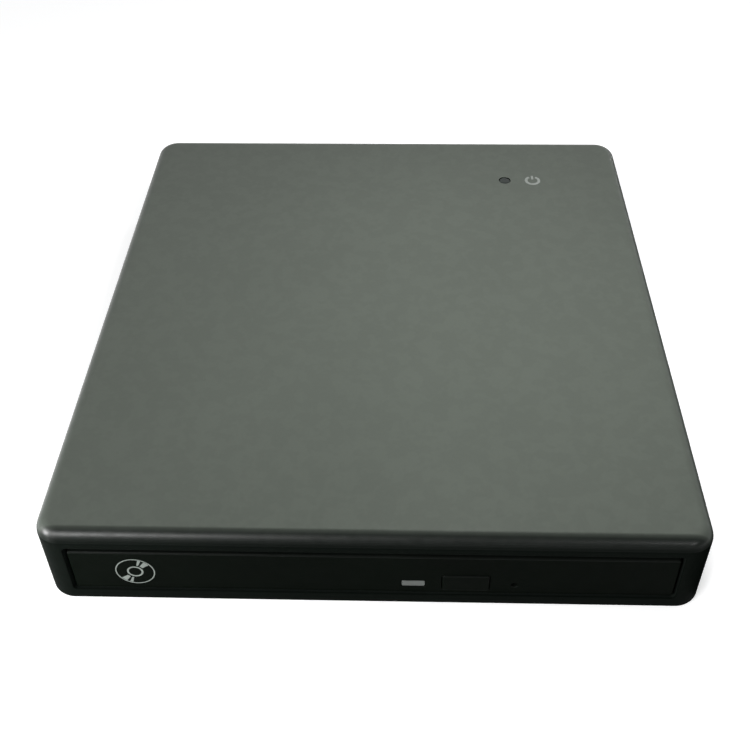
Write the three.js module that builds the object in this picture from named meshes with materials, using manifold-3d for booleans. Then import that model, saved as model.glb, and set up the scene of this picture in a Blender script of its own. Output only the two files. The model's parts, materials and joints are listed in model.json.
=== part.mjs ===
// External optical drive: a slim tray drive inside a flat plastic enclosure.
// Millimetres, +Z up, front face towards -Y, origin under the middle of the feet.

import * as THREE from 'three';
import { mergeVertices } from 'three/addons/utils/BufferGeometryUtils.js';
import Module from 'manifold-3d';

const wasm = await Module();
wasm.setup();

// Enclosure
const caseWidth = 141;
const caseDepth = 154.5;
const caseHeight = 21.7;
const caseWall = 1.6;
const caseTop = 1.8;
const caseCornerRadius = 5.8;
const topRollRadius = 3.2;
const bottomRollRadius = 0.9;
const mouthCornerRadius = 0.8;
const mouthTopGap = 1;
const baseThickness = 1.8;
const driveLift = 1.8;
const driveSideRoom = 6.5;
const frontSetback = 0.4;
const boardDriveGap = 0.8;
const caseBossRadius = 2.2;
const caseBossInset = 3.6;
const caseScrewFrontInset = 13;
const caseScrewRearInset = 9;
const ribThickness = 1.2;
const holdDownSpread = 40;
const holdDownEndInset = 4;
const sideStopPitch = 35;
const sideStopRearInset = 12;
const railSpread = 24;
const railSideInset = 8;
const railEndInset = 3;
const labelWidth = 62;
const labelDepth = 34;
const labelCornerRadius = 2;
const labelRecess = 0.3;

// Feet and case screws
const footRadius = 5;
const footHeight = 1;
const footEdgeRadius = 0.5;
const footSeatDepth = 0.6;
const footInsetX = 15;
const footInsetY = 16;
const screwRadius = 1;
const screwLength = 6.5;
const screwHeadRadius = 1.9;
const screwHeadHeight = 0.9;
const screwHeadEdge = 0.3;
const screwTip = 0.6;
const screwSeatDepth = 1;
const crossWidth = 0.6;
const crossLength = 2.4;
const crossDepth = 0.5;

// Slim drive
const driveHeight = 12.7;
const sheet = 0.6;
const lidSkirt = 4;
const bezelThickness = 4;
const bezelCornerRadius = 0.8;
const bezelEdgeRadius = 0.5;
const bezelTopDrop = 0.5;
const bezelSideGap = 0.2;
const bezelBackGap = 0.1;
const shoulderDepth = 2;

// Disc and tray
const smallDiscRadius = 40;
const discThickness = 1.2;
const discHoleRadius = 7.5;
const discTopRoom = 3;
const discFrontMargin = 1.55;
const discRecessDepth = 1.8;
const discFloorGap = 0.7;
const smallRecessDepth = 0.4;
const recessGap = 1;
const traySideRoom = 2;
const trayRim = 1;
const trayBottom = 1.3;
const trayWall = 1.2;
const trayFloor = 1.8;
const trayRearMargin = 2;
const trayEndInset = 4;
const boardRoom = 4.7;
const fingerNotchRadius = 11;
const fingerNotchDepth = 0.8;

// Runners and their guides
const guideWidth = 4;
const guideHeight = 5;
const guideWall = 1;
const guideFlange = 0.7;
const guidePanGap = 0.1;
const guideFrontInset = 2;
const guideRearRoom = 10;
const runnerWall = 0.9;
const runnerFlange = 0.7;
const runnerOverhang = 0.5;
const runnerRearRoom = 7;
const runningGap = 0.3;
const skirtGap = 0.4;
const tongueThickness = 1;
const tongueFrontInset = 1;

// Traverse unit, in the tray's own turned frame
const sledAngle = -132;
const lensInner = 22;
const discEdgeBand = 2.5;
const sledHalfLength = 7.5;
const sledHalfWidth = 12.5;
const sledBottom = 2.1;
const sledDeckGap = 0.1;
const sweepGap = 0.4;
const turretHalf = 6;
const turretHeight = 0.4;
const rodRadius = 1;
const rodSpread = 10;
const rodHeight = 4;
const rodStartReach = 3.3;
const rodEndReach = 1.6;
const rodPostWidth = 3;
const rodPostHeight = 3.2;
const rodPostStart = 0.9;
const rodPostEnd = 0.8;
const sweepEndGap = 0.5;
const frameBottom = 2.4;
const frameThickness = 0.8;
const traverseRear = 15;
const traverseEndRoom = 3;
const traverseLeftRoom = 3.5;
const traverseScrewRoom = 3.4;
const deckPlateThickness = 0.5;
const deckLedge = 2;
const deckSlotRun = 6;
const deckSlotEndGap = 1;
const deckSlotSideGap = 1.2;
const deckSlotRadius = 3;
const screwOffset = 18;
const screwHeight = 4.3;
const screwStart = 3.6;
const leadScrewRadius = 0.8;
const motorRadius = 1.9;
const motorLength = 12;
const nutHalfLength = 2;
const nutReach = 1.6;
const nutDrop = 0.4;
const nutHeight = 2;
const bearingHalf = 1.5;
const bearingLength = 2;
const bearingDepth = 1.5;
const bearingGap = 0.6;
const bearingEngagement = 1.2;
const damperRadius = 2.8;
const damperHeight = 2.4;
const damperNeckRadius = 1.8;
const damperSlack = 0.1;
const damperPostRadius = 1.1;
const damperBoreGap = 0.2;
const damperOutset = 3.4;
const damperFirst = 2;
const damperEndInset = 21;
const damperThird = 6;
const earRadius = 3.2;
const earBridge = 6;
const earHoleRadius = 2;

// Turntable
const rotorRadius = 11;
const rotorWall = 0.8;
const rotorGap = 1;
const rotorLift = 0.3;
const shaftRadius = 1;
const sleeveWall = 1.7;
const spindlePlateRadius = 14;
const spindlePlateThickness = 0.5;
const poleCount = 9;
const poleSlotWidth = 1.2;
const statorYoke = 1.6;
const statorTopGap = 0.7;
const neckRadius = 8;
const platformRadius = 13.5;
const platformThickness = 0.8;
const platformGap = 0.7;
const padThickness = 0.4;
const padEdge = 0.3;
const padHubGap = 0.9;
const hubClearance = 0.1;
const hubRise = 2.9;
const hubBevelHeight = 0.7;
const hubBevelWidth = 0.8;
const pawlCount = 3;
const pawlWidth = 2;
const pawlReach = 0.35;
const pawlTravel = 0.5;
const pawlLength = 2.45;
const pawlHeight = 0.9;
const pawlLift = 0.1;
const pawlTipHeight = 0.3;
const pawlBevel = 0.7;

// Lens
const lensRadius = 2.1;
const lensTravel = 0.3;
const lensHolderLength = 7;
const lensHolderWidth = 8.4;
const lensHolderHeight = 2;
const lensHolderRadius = 1;
const lensPocketGap = 0.5;
const lensSeatDepth = 0.7;
const lensEdge = 0.4;
const lensDome = 0.7;

// Front controls, from the drive's centre line and underside
const buttonCentre = 19.8;
const buttonWidth = 10;
const buttonHeight = 5;
const buttonLevel = 3.65;
const buttonCornerRadius = 0.6;
const buttonEdgeRadius = 0.3;
const buttonHoleRadius = 0.8;
const buttonProud = 0.25;
const buttonBackInset = 1.2;
const buttonTravel = 0.6;
const buttonGap = 0.3;
const stemWidth = 2;
const stemHeight = 1.2;
const stemReach = 1.25;
const switchWidth = 6;
const switchDepth = 3.2;
const switchHeadroom = 1.4;
const plungerWidth = 1.8;
const plungerReach = 0.4;
const windowCentre = 8.7;
const windowWidth = 5;
const windowHeight = 1.9;
const windowLevel = 3.05;
const windowCornerRadius = 0.4;
const windowEdgeRadius = 0.15;
const windowSetback = 0.1;
const windowBackGap = 0.2;
const pinholeOffset = 30.1;
const pinholeRadius = 0.7;
const trayBoardLength = 34;
const trayBoardDepth = 6.5;
const trayBoardInset = 6.5;
const trayBoardLift = 0.7;
const trayBoardSlack = 0.5;
const boardThickness = 1;
const underPlateThickness = 0.5;
const underPlateLeverGap = 2.2;
const damperRelief = 0.4;

// Lock and ejector
const lockPinSideRoom = 10.3;
const lockPinInset = 10.9;
const lockPinRadius = 1.5;
const lockPinHeight = 2.4;
const lockPinEdge = 0.3;
const pinChannelGap = 1;
const pinChannelHeadroom = 0.6;
const leverThickness = 1;
const leverLift = 1.3;
const leverReach = 6;
const leverPivotRadius = 1.2;
const leverCollar = 1.2;
const leverArm = 10;
const leverWidth = 4;
const leverHeel = 2.4;
const hookGap = 0.5;
const hookInnerHeight = 2;
const hookOuterHeight = 3.5;
const coilGap = 7;
const coilLength = 9;
const coilDepth = 6;
const coilOffset = 4;
const coilLift = 0.8;
const coilCoreRadius = 1;
const coilCoreReach = 2;
const ejectorSideRoom = 6.3;
const ejectorRadius = 1;
const ejectorLevel = 4;
const ejectorLength = 14.9;
const ejectorProud = 0.8;
const ejectorHousing = 3.8;
const ejectorHousingLength = 14;
const stopTabWidth = 4;

// Boards and sockets at the rear
const bridgeBoardWidth = 98;
const bridgeBoardDepth = 22.4;
const bridgeBoardSideRoom = 2.7;
const bridgeBoardThickness = 1.2;
const bridgeBoardLift = 2.2;
const boardPostRadius = 2.5;
const boardPostInset = 4;
const bridgeChipX = 26;
const bridgeChipRearInset = 10.4;
const bridgeChipSize = 10;
const chipHeight = 1.2;
const usbOffset = 10;
const usbWidth = 7.7;
const usbHeight = 3.9;
const usbDepth = 9;
const usbShell = 0.5;
const usbBackWall = 2;
const usbTongueWidth = 4.4;
const usbTongueThickness = 0.8;
const usbTongueSetback = 1.2;
const usbMouthMargin = 0.5;
const usbMouthRadius = 1;
const powerOffset = -18;
const powerWidth = 8;
const powerHeight = 7;
const powerDepth = 11;
const powerBoreRadius = 2.9;
const powerPinRadius = 0.6;
const powerPinSetback = 1.5;
const powerBackWall = 2;
const powerCollarWall = 0.5;
const powerCollarLength = 4;
const powerMouthGap = 0.5;
const socketSetback = 0.5;
const plugWidth = 40;
const plugHeight = 3.2;
const plugDepth = 5;
const plugHoleGap = 0.6;
const plugTongue = 1.2;
const plugTongueInset = 1;
const plugTongueReach = 3;
const connectorWall = 2;
const connectorDepth = 5;
const connectorSlotSlack = 0.4;
const mainBoardWidth = 106;
const mainBoardDepth = 14.6;
const mainBoardLift = 0.6;
const standoffRadius = 2;
const standoffInset = 5;
const standoffSpread = 3.65;
const mainChipWidth = 12;
const mainChipDepth = 11.5;
const mainChipSideInset = 15;
const mainChipFrontInset = 1.5;
const flexWidth = 22;
const flexThickness = 0.2;
const flexLength = 74;
const flexGap = 0.1;
const flexFoldRoom = 1;

// Status light on the top
const lightX = 35.8;
const lightRearInset = 22.5;
const pipeRadius = 1.4;
const pipeCollarRadius = 2.4;
const pipeCollarThickness = 1.1;
const pipeCollarGap = 0.1;
const pipeRecess = 0.3;
const pipeDome = 0.2;
const ledWidth = 3.2;
const ledDepth = 1.6;
const ledHeight = 1.2;

// Clearances
const fitGap = 0.3;
const overlap = 0.4;

// Outline fineness, in steps per quarter turn or sides per turn
const cornerSteps = 6;
const panelSteps = 3;
const rollSteps = 4;
const smallSides = 12;
const mediumSides = 20;
const largeSides = 40;

// Places worked out from the sizes above, from the case inwards
const frontFace = -caseDepth / 2;
const rearFace = caseDepth / 2;
const ceiling = caseHeight - caseTop;
const driveBase = baseThickness + driveLift;
const driveWidth = caseWidth - 2 * driveSideRoom;
const bezelFront = frontFace + frontSetback;
const bezelBack = bezelFront + bezelThickness;
const bridgeBoardRear = rearFace - caseWall - fitGap;
const bridgeBoardFront = bridgeBoardRear - bridgeBoardDepth;
const driveRear = bridgeBoardFront - boardDriveGap;
const panFront = bezelBack + fitGap;
const lidHalf = driveWidth / 2;
const panHalf = lidHalf - sheet - fitGap;
const panInner = panHalf - sheet;
const lidUnder = driveHeight - sheet;
const panTop = lidUnder - fitGap;
const guideOuter = panInner - guidePanGap;
const guideTop = sheet + guideHeight;
const runnerOuter = guideOuter - guideWall - runningGap;
const runnerBottom = sheet + guideFlange + runningGap;
const runnerTop = guideTop - guideFlange - runningGap;
const runnerInner = guideOuter - guideWidth - runnerOverhang;
const tongueLevel = (runnerBottom + runnerTop) / 2;
const tongueOuter = runnerOuter - runnerWall - runningGap;
const skirtOuter = runnerInner - skirtGap;
const skirtInner = skirtOuter - trayWall;
const trayHalf = driveWidth / 2 - traySideRoom;
const trayFront = bezelBack;
const trayRear = driveRear - trayRearMargin;
const recessRadius = trayHalf - trayRim;
const discRadius = recessRadius - recessGap;
const discHeight = lidUnder - discTopRoom - discThickness;
const recessFloor = discHeight - discFloorGap;
const trayRimHeight = recessFloor + discRecessDepth;
const deckBottom = recessFloor - trayFloor;
const rimBottom = guideTop + runningGap;
const spindleY = trayFront + discFrontMargin + recessRadius;
const mainBoardFront = driveRear - sheet - mainBoardDepth - fitGap;
const mainBoardBottom = sheet + mainBoardLift;
const mainBoardTop = mainBoardBottom + boardThickness;
const chamberFront = trayFront + trayWall;
const chamberRear = mainBoardFront - boardRoom;
const deckPlateTop = recessFloor - smallRecessDepth;
const deckPlateBottom = deckPlateTop - deckPlateThickness;
const frameTop = frameBottom + frameThickness;
const sledTop = deckPlateBottom - sledDeckGap;
const sledTravel = discRadius - discEdgeBand - lensInner;
const sledInner = lensInner - sledHalfLength;
const sweepEnd = lensInner + sledTravel + sledHalfLength;
const sweepHalf = sledHalfWidth + sweepGap;
const cupUnder = sledTop - rotorWall;
const hubRadius = discHoleRadius - hubClearance;
const hubHeight = discHeight + hubRise;
const platformTop = discHeight - padThickness;
const lockPinX = skirtInner - lockPinSideRoom;
const lockPinY = trayFront + lockPinInset;
const leverPivotX = lockPinX - leverReach;
const leverPivotY = lockPinY + leverArm;
const leverBottom = sheet + leverLift;
const ejectorOffset = skirtInner - ejectorSideRoom;
const stopY = chamberRear + ejectorProud + fitGap;
const trayBoardLeft = windowCentre - trayBoardInset;
const trayBoardBottom = trayBottom + trayBoardLift;
const stemEnd = bezelBack + stemReach;
const switchFront = stemEnd + buttonTravel + fitGap;
const bridgeBoardBottom = baseThickness + bridgeBoardLift;
const bridgeBoardTop = bridgeBoardBottom + bridgeBoardThickness;
const lightY = rearFace - lightRearInset;
const caseBossX = caseWidth / 2 - caseBossInset;
const caseScrewYs = [frontFace + caseScrewFrontInset, rearFace - caseScrewRearInset];
const bridgeBoardRight = caseBossX - caseBossRadius - bridgeBoardSideRoom;
const bridgeBoardLeft = bridgeBoardRight - bridgeBoardWidth;
const socketFace = rearFace - socketSetback;
const footX = caseWidth / 2 - footInsetX;
const footY = caseDepth / 2 - footInsetY;

// Named colours and finishes
const finishes = {
  casePlastic: { color: 0x3c403b, roughness: 0.55, metalness: 0 },
  bezelPlastic: { color: 0x121612, roughness: 0.4, metalness: 0 },
  trayPlastic: { color: 0x17191a, roughness: 0.5, metalness: 0 },
  paleWindow: { color: 0x9a9f98, roughness: 0.3, metalness: 0 },
  smokedLens: { color: 0x16191a, roughness: 0.15, metalness: 0 },
  rubber: { color: 0x1a1a1a, roughness: 0.9, metalness: 0 },
  steel: { color: 0xa9acae, roughness: 0.35, metalness: 0.9 },
  brightSteel: { color: 0xc9ccce, roughness: 0.2, metalness: 1 },
  copper: { color: 0xb06a3c, roughness: 0.4, metalness: 0.8 },
  board: { color: 0x1f5a33, roughness: 0.5, metalness: 0 },
  chip: { color: 0x151515, roughness: 0.5, metalness: 0 },
  connector: { color: 0x202022, roughness: 0.5, metalness: 0 },
  acetal: { color: 0xd8d6cc, roughness: 0.45, metalness: 0 },
  flex: { color: 0xc07a2a, roughness: 0.45, metalness: 0 },
  glass: { color: 0x6f7fa8, roughness: 0.05, metalness: 0 },
};

// A closed solid from a three.js geometry, with shared corners merged.
function solid(geometry) {
  const bare = geometry.index ? geometry.clone() : geometry;
  bare.deleteAttribute('normal');
  bare.deleteAttribute('uv');
  const merged = mergeVertices(bare, 1e-4);
  const index = Array.from(merged.index.array);
  const kept = [];
  for (let i = 0; i < index.length; i += 3) {
    const [a, b, c] = index.slice(i, i + 3);
    if (a !== b && b !== c && c !== a) kept.push(a, b, c);
  }
  return new wasm.Manifold(new wasm.Mesh({
    numProp: 3,
    vertProperties: Float32Array.from(merged.attributes.position.array),
    triVerts: Uint32Array.from(kept),
  }));
}

function join(...solids) {
  return solids.reduce((whole, next) => whole.add(next));
}

function cut(whole, ...tools) {
  return tools.reduce((rest, tool) => rest.subtract(tool), whole);
}

// The triangles of a solid as a geometry for a mesh.
function surface(body) {
  const mesh = body.getMesh();
  const geometry = new THREE.BufferGeometry();
  geometry.setAttribute('position', new THREE.BufferAttribute(mesh.vertProperties.slice(), 3));
  geometry.setIndex(new THREE.BufferAttribute(mesh.triVerts.slice(), 1));
  geometry.computeVertexNormals();
  return geometry;
}

function block(x0, x1, y0, y1, z0, z1) {
  const geometry = new THREE.BoxGeometry(x1 - x0, y1 - y0, z1 - z0);
  geometry.translate((x0 + x1) / 2, (y0 + y1) / 2, (z0 + z1) / 2);
  return solid(geometry);
}

function cylinder(radius, x, y, z0, z1, sides = smallSides) {
  const geometry = new THREE.CylinderGeometry(radius, radius, z1 - z0, sides);
  geometry.rotateX(Math.PI / 2);
  geometry.translate(x, y, (z0 + z1) / 2);
  return solid(geometry);
}

function cylinderAlongX(radius, x0, x1, y, z, sides = smallSides) {
  const geometry = new THREE.CylinderGeometry(radius, radius, x1 - x0, sides);
  geometry.rotateZ(Math.PI / 2);
  geometry.translate((x0 + x1) / 2, y, z);
  return solid(geometry);
}

function cylinderAlongY(radius, x, y0, y1, z, sides = smallSides) {
  const geometry = new THREE.CylinderGeometry(radius, radius, y1 - y0, sides);
  geometry.translate(x, (y0 + y1) / 2, z);
  return solid(geometry);
}

// A body of revolution about a vertical axis, from radius and height pairs.
function turned(profile, sides, x = 0, y = 0) {
  const points = profile.map(([radius, height]) => new THREE.Vector2(radius, height));
  const geometry = new THREE.LatheGeometry(points, sides);
  geometry.rotateX(Math.PI / 2);
  geometry.translate(x, y, 0);
  return solid(geometry);
}

function roundedOutline(width, depth, radius, x = 0, y = 0, steps = cornerSteps) {
  const points = [];
  for (let corner = 0; corner < 4; corner += 1) {
    const sx = corner === 0 || corner === 3 ? 1 : -1;
    const sy = corner < 2 ? 1 : -1;
    const cx = x + sx * (width / 2 - radius);
    const cy = y + sy * (depth / 2 - radius);
    for (let step = 0; step <= steps; step += 1) {
      const angle = (corner + step / steps) * Math.PI / 2;
      points.push(new THREE.Vector2(cx + radius * Math.cos(angle), cy + radius * Math.sin(angle)));
    }
  }
  return points;
}

function slab(points, z0, z1) {
  const geometry = new THREE.ExtrudeGeometry(new THREE.Shape(points), {
    depth: z1 - z0,
    bevelEnabled: false,
  });
  geometry.translate(0, 0, z0);
  return solid(geometry);
}

// An outline in X and Z, given thickness along Y.
function slabAlongY(points, y0, y1) {
  const geometry = new THREE.ExtrudeGeometry(new THREE.Shape(points), {
    depth: y1 - y0,
    bevelEnabled: false,
  });
  geometry.rotateX(Math.PI / 2);
  geometry.translate(0, y1, 0);
  return solid(geometry);
}

function corners(pairs) {
  return pairs.map(([x, y]) => new THREE.Vector2(x, y));
}

// A rounded slab whose lower and upper edges are rolled to quarter circles.
function rolledGeometry({ width, depth, height, radius, lowerRoll, upperRoll, steps = cornerSteps }) {
  const levels = [];
  for (let step = 0; step <= rollSteps; step += 1) {
    const angle = (step / rollSteps) * Math.PI / 2;
    levels.push([lowerRoll * (1 - Math.sin(angle)), lowerRoll * (1 - Math.cos(angle))]);
  }
  for (let step = 0; step <= rollSteps; step += 1) {
    const angle = (step / rollSteps) * Math.PI / 2;
    levels.push([upperRoll * (1 - Math.cos(angle)), height - upperRoll * (1 - Math.sin(angle))]);
  }
  const positions = [];
  const index = [];
  const count = 4 * (steps + 1);
  levels.forEach(([inset, z]) => {
    const ring = roundedOutline(width - 2 * inset, depth - 2 * inset, radius - inset, 0, 0, steps);
    ring.forEach((point) => positions.push(point.x, point.y, z));
  });
  for (let level = 0; level + 1 < levels.length; level += 1) {
    for (let i = 0; i < count; i += 1) {
      const a = level * count + i;
      const b = level * count + ((i + 1) % count);
      index.push(a, b, b + count, a, b + count, a + count);
    }
  }
  const last = (levels.length - 1) * count;
  for (let i = 1; i + 1 < count; i += 1) {
    index.push(0, i + 1, i);
    index.push(last, last + i, last + i + 1);
  }
  const geometry = new THREE.BufferGeometry();
  geometry.setAttribute('position', new THREE.Float32BufferAttribute(positions, 3));
  geometry.setIndex(index);
  return geometry;
}

// A rolled slab standing on edge: its rolled upper face looks towards -Y.
function frontPanel(width, height, radius, roll, x, z, yFront, yBack) {
  const geometry = rolledGeometry({
    width,
    depth: height,
    height: yBack - yFront,
    radius,
    lowerRoll: 0.02,
    upperRoll: roll,
    steps: panelSteps,
  });
  geometry.rotateX(Math.PI / 2);
  geometry.translate(x, yBack, z);
  return solid(geometry);
}

function addPart(parent, name, body, finish) {
  const mesh = new THREE.Mesh(surface(body), new THREE.MeshStandardMaterial(finish));
  mesh.name = name;
  parent.add(mesh);
  return mesh;
}

// Enclosure

function caseBosses(z0, z1) {
  return caseScrewYs.flatMap((y) => [-1, 1].map((side) => (
    cylinder(caseBossRadius, side * caseBossX, y, z0, z1, smallSides)
  )));
}

function caseScrewHoles(radius, z0, z1) {
  return caseScrewYs.flatMap((y) => [-1, 1].map((side) => (
    cylinder(radius, side * caseBossX, y, z0, z1, smallSides)
  )));
}

function topCover() {
  const shell = solid(rolledGeometry({
    width: caseWidth,
    depth: caseDepth,
    height: caseHeight,
    radius: caseCornerRadius,
    lowerRoll: bottomRollRadius,
    upperRoll: topRollRadius,
  }));
  const cavity = slab(
    roundedOutline(caseWidth - 2 * caseWall, caseDepth - 2 * caseWall, caseCornerRadius - caseWall),
    -1,
    ceiling,
  );
  const mouthBottom = driveBase - fitGap;
  const mouthTop = driveBase + driveHeight + mouthTopGap;
  const mouth = slabAlongY(
    roundedOutline(
      driveWidth + 2 * fitGap,
      mouthTop - mouthBottom,
      mouthCornerRadius,
      0,
      (mouthBottom + mouthTop) / 2,
    ),
    frontFace - 1,
    frontFace + caseWall + 1,
  );
  const usbMouth = slabAlongY(
    roundedOutline(
      usbWidth + 2 * usbMouthMargin,
      usbHeight + 2 * usbMouthMargin,
      usbMouthRadius,
      usbOffset,
      bridgeBoardTop + usbHeight / 2,
    ),
    rearFace - caseWall - 1,
    rearFace + 1,
  );
  const powerMouth = cylinderAlongY(
    powerBoreRadius + powerCollarWall + powerMouthGap,
    powerOffset,
    rearFace - caseWall - 1,
    rearFace + 1,
    bridgeBoardTop + powerHeight / 2,
    mediumSides,
  );
  const lightHole = cylinder(pipeRadius + fitGap, lightX, lightY, ceiling - 1, caseHeight + 1, mediumSides);
  const hollow = cut(shell, cavity);
  const grip = ceiling + overlap;
  const holdDownBottom = driveBase + driveHeight + fitGap;
  const holdDowns = [-holdDownSpread, 0, holdDownSpread].map((x) => block(
    x - ribThickness / 2,
    x + ribThickness / 2,
    panFront + holdDownEndInset,
    driveRear - holdDownEndInset,
    holdDownBottom,
    grip,
  ));
  const sideStops = [-1, 1].flatMap((side) => [0, 1, 2].map((place) => {
    const y = driveRear - sideStopRearInset - place * sideStopPitch;
    const inner = side * (lidHalf + fitGap);
    const outer = side * (caseWidth / 2 - caseWall + overlap);
    return block(
      Math.min(inner, outer),
      Math.max(inner, outer),
      y - ribThickness / 2,
      y + ribThickness / 2,
      baseThickness + fitGap,
      grip,
    );
  }));
  const whole = join(hollow, ...holdDowns, ...sideStops, ...caseBosses(baseThickness, grip));
  const pilots = caseScrewHoles(screwRadius + fitGap, baseThickness - 1, screwSeatDepth + screwLength + 1);
  return cut(whole, mouth, usbMouth, powerMouth, lightHole, ...pilots);
}

function boardPosts() {
  const left = bridgeBoardLeft + boardPostInset;
  const right = bridgeBoardRight - boardPostInset;
  const front = bridgeBoardFront + boardPostInset;
  const rear = bridgeBoardRear - boardPostInset;
  return [[left, front], [right, front], [left, rear], [right, rear]];
}

function baseCover() {
  const rim = caseWall + fitGap;
  const floor = slab(
    roundedOutline(caseWidth - 2 * rim, caseDepth - 2 * rim, caseCornerRadius - rim),
    0,
    baseThickness,
  );
  const railOuter = lidHalf - railSideInset;
  const rails = [-railOuter, -railSpread, railSpread, railOuter].map((x) => block(
    x - ribThickness / 2,
    x + ribThickness / 2,
    panFront + railEndInset,
    driveRear - railEndInset,
    baseThickness - overlap,
    driveBase,
  ));
  const posts = boardPosts().map(([x, y]) => (
    cylinder(boardPostRadius, x, y, baseThickness - overlap, bridgeBoardBottom)
  ));
  const footSeats = [-1, 1].flatMap((sx) => [-1, 1].map((sy) => (
    cylinder(footRadius + fitGap, sx * footX, sy * footY, -1, footSeatDepth, mediumSides)
  )));
  const headSeats = caseScrewHoles(screwHeadRadius + fitGap, -1, screwSeatDepth);
  const shanks = caseScrewHoles(screwRadius + fitGap, -1, baseThickness + 1);
  const label = slab(roundedOutline(labelWidth, labelDepth, labelCornerRadius), -1, labelRecess);
  return cut(join(floor, ...rails, ...posts), ...footSeats, ...headSeats, ...shanks, label);
}

function foot() {
  const bevel = footEdgeRadius * 0.3;
  return turned([
    [0, -footHeight],
    [footRadius - footEdgeRadius, -footHeight],
    [footRadius - bevel, -footHeight + bevel],
    [footRadius, -footHeight + footEdgeRadius],
    [footRadius, footSeatDepth],
    [0, footSeatDepth],
  ], mediumSides);
}

function caseScrew() {
  const headBottom = screwSeatDepth - screwHeadHeight;
  const body = turned([
    [0, headBottom],
    [screwHeadRadius - screwHeadEdge, headBottom],
    [screwHeadRadius, headBottom + screwHeadEdge],
    [screwHeadRadius, screwSeatDepth],
    [screwRadius, screwSeatDepth],
    [screwRadius, screwSeatDepth + screwLength - screwTip],
    [screwRadius / 2, screwSeatDepth + screwLength],
    [0, screwSeatDepth + screwLength],
  ], smallSides);
  const reach = crossLength / 2;
  const depth = headBottom + crossDepth;
  const slotX = block(-reach, reach, -crossWidth / 2, crossWidth / 2, headBottom - 1, depth);
  const slotY = block(-crossWidth / 2, crossWidth / 2, -reach, reach, headBottom - 1, depth);
  return cut(body, slotX, slotY);
}

function addEnclosure(parent) {
  addPart(parent, 'top_cover', topCover(), finishes.casePlastic);
  addPart(parent, 'base_cover', baseCover(), finishes.casePlastic);
  const sides = [['left', -1], ['right', 1]];
  const ends = [['front', -1, 0], ['rear', 1, 1]];
  ends.forEach(([end, sy, row]) => sides.forEach(([side, sx]) => {
    const rubber = addPart(parent, `foot_${end}_${side}`, foot(), finishes.rubber);
    rubber.position.set(sx * footX, sy * footY, 0);
    const screw = addPart(parent, `case_screw_${end}_${side}`, caseScrew(), finishes.steel);
    screw.position.set(sx * caseBossX, caseScrewYs[row], 0);
  }));
}

// Bridge board behind the drive, with its sockets and the status light

function bridgeBoard() {
  return block(
    bridgeBoardLeft,
    bridgeBoardRight,
    bridgeBoardFront,
    bridgeBoardRear,
    bridgeBoardBottom,
    bridgeBoardTop,
  );
}

function bridgeChip() {
  const y = bridgeBoardRear - bridgeChipRearInset;
  return block(
    bridgeChipX - bridgeChipSize / 2,
    bridgeChipX + bridgeChipSize / 2,
    y - bridgeChipSize / 2,
    y + bridgeChipSize / 2,
    bridgeBoardTop,
    bridgeBoardTop + chipHeight,
  );
}

function usbSocket() {
  const inner = socketFace - usbDepth;
  const middle = bridgeBoardTop + usbHeight / 2;
  const shell = block(
    usbOffset - usbWidth / 2,
    usbOffset + usbWidth / 2,
    inner,
    socketFace,
    bridgeBoardTop,
    bridgeBoardTop + usbHeight,
  );
  const mouth = block(
    usbOffset - usbWidth / 2 + usbShell,
    usbOffset + usbWidth / 2 - usbShell,
    inner + usbBackWall,
    socketFace + 1,
    bridgeBoardTop + usbShell,
    bridgeBoardTop + usbHeight - usbShell,
  );
  const tongue = block(
    usbOffset - usbTongueWidth / 2,
    usbOffset + usbTongueWidth / 2,
    inner + usbBackWall / 2,
    socketFace - usbTongueSetback,
    middle - usbTongueThickness / 2,
    middle + usbTongueThickness / 2,
  );
  return join(cut(shell, mouth), tongue);
}

function powerSocket() {
  const inner = socketFace - powerDepth;
  const level = bridgeBoardTop + powerHeight / 2;
  const body = block(
    powerOffset - powerWidth / 2,
    powerOffset + powerWidth / 2,
    inner,
    bridgeBoardRear,
    bridgeBoardTop,
    bridgeBoardTop + powerHeight,
  );
  const collar = cylinderAlongY(
    powerBoreRadius + powerCollarWall,
    powerOffset,
    socketFace - powerCollarLength,
    socketFace,
    level,
    mediumSides,
  );
  const bore = cylinderAlongY(
    powerBoreRadius,
    powerOffset,
    inner + powerBackWall,
    socketFace + 1,
    level,
    mediumSides,
  );
  const pin = cylinderAlongY(
    powerPinRadius,
    powerOffset,
    inner + powerBackWall / 2,
    socketFace - powerPinSetback,
    level,
  );
  return join(cut(join(body, collar), bore), pin);
}

// The connector's slot takes the drive plug's tongue.
function boardConnector() {
  const half = plugWidth / 2 + connectorWall;
  const slotHalf = plugWidth / 2 - plugTongueInset + fitGap;
  const front = bridgeBoardFront + fitGap;
  const level = driveBase + mainBoardTop + plugHeight / 2;
  const top = level + plugTongue / 2 + connectorWall;
  const body = block(-half, half, front, front + connectorDepth, bridgeBoardTop, top);
  const slot = block(
    -slotHalf,
    slotHalf,
    front - 1,
    front + plugTongueReach + connectorSlotSlack,
    level - plugTongue / 2 - fitGap,
    level + plugTongue / 2 + fitGap,
  );
  return cut(body, slot);
}

function lightPipe() {
  const bottom = bridgeBoardTop + ledHeight + fitGap;
  const collarTop = ceiling - pipeCollarGap;
  const top = caseHeight - pipeRecess;
  return turned([
    [0, bottom],
    [pipeRadius, bottom],
    [pipeRadius, collarTop - pipeCollarThickness],
    [pipeCollarRadius, collarTop - pipeCollarThickness],
    [pipeCollarRadius, collarTop],
    [pipeRadius, collarTop],
    [pipeRadius, top - pipeDome],
    [pipeRadius * 0.6, top],
    [0, top],
  ], mediumSides, lightX, lightY);
}

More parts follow.
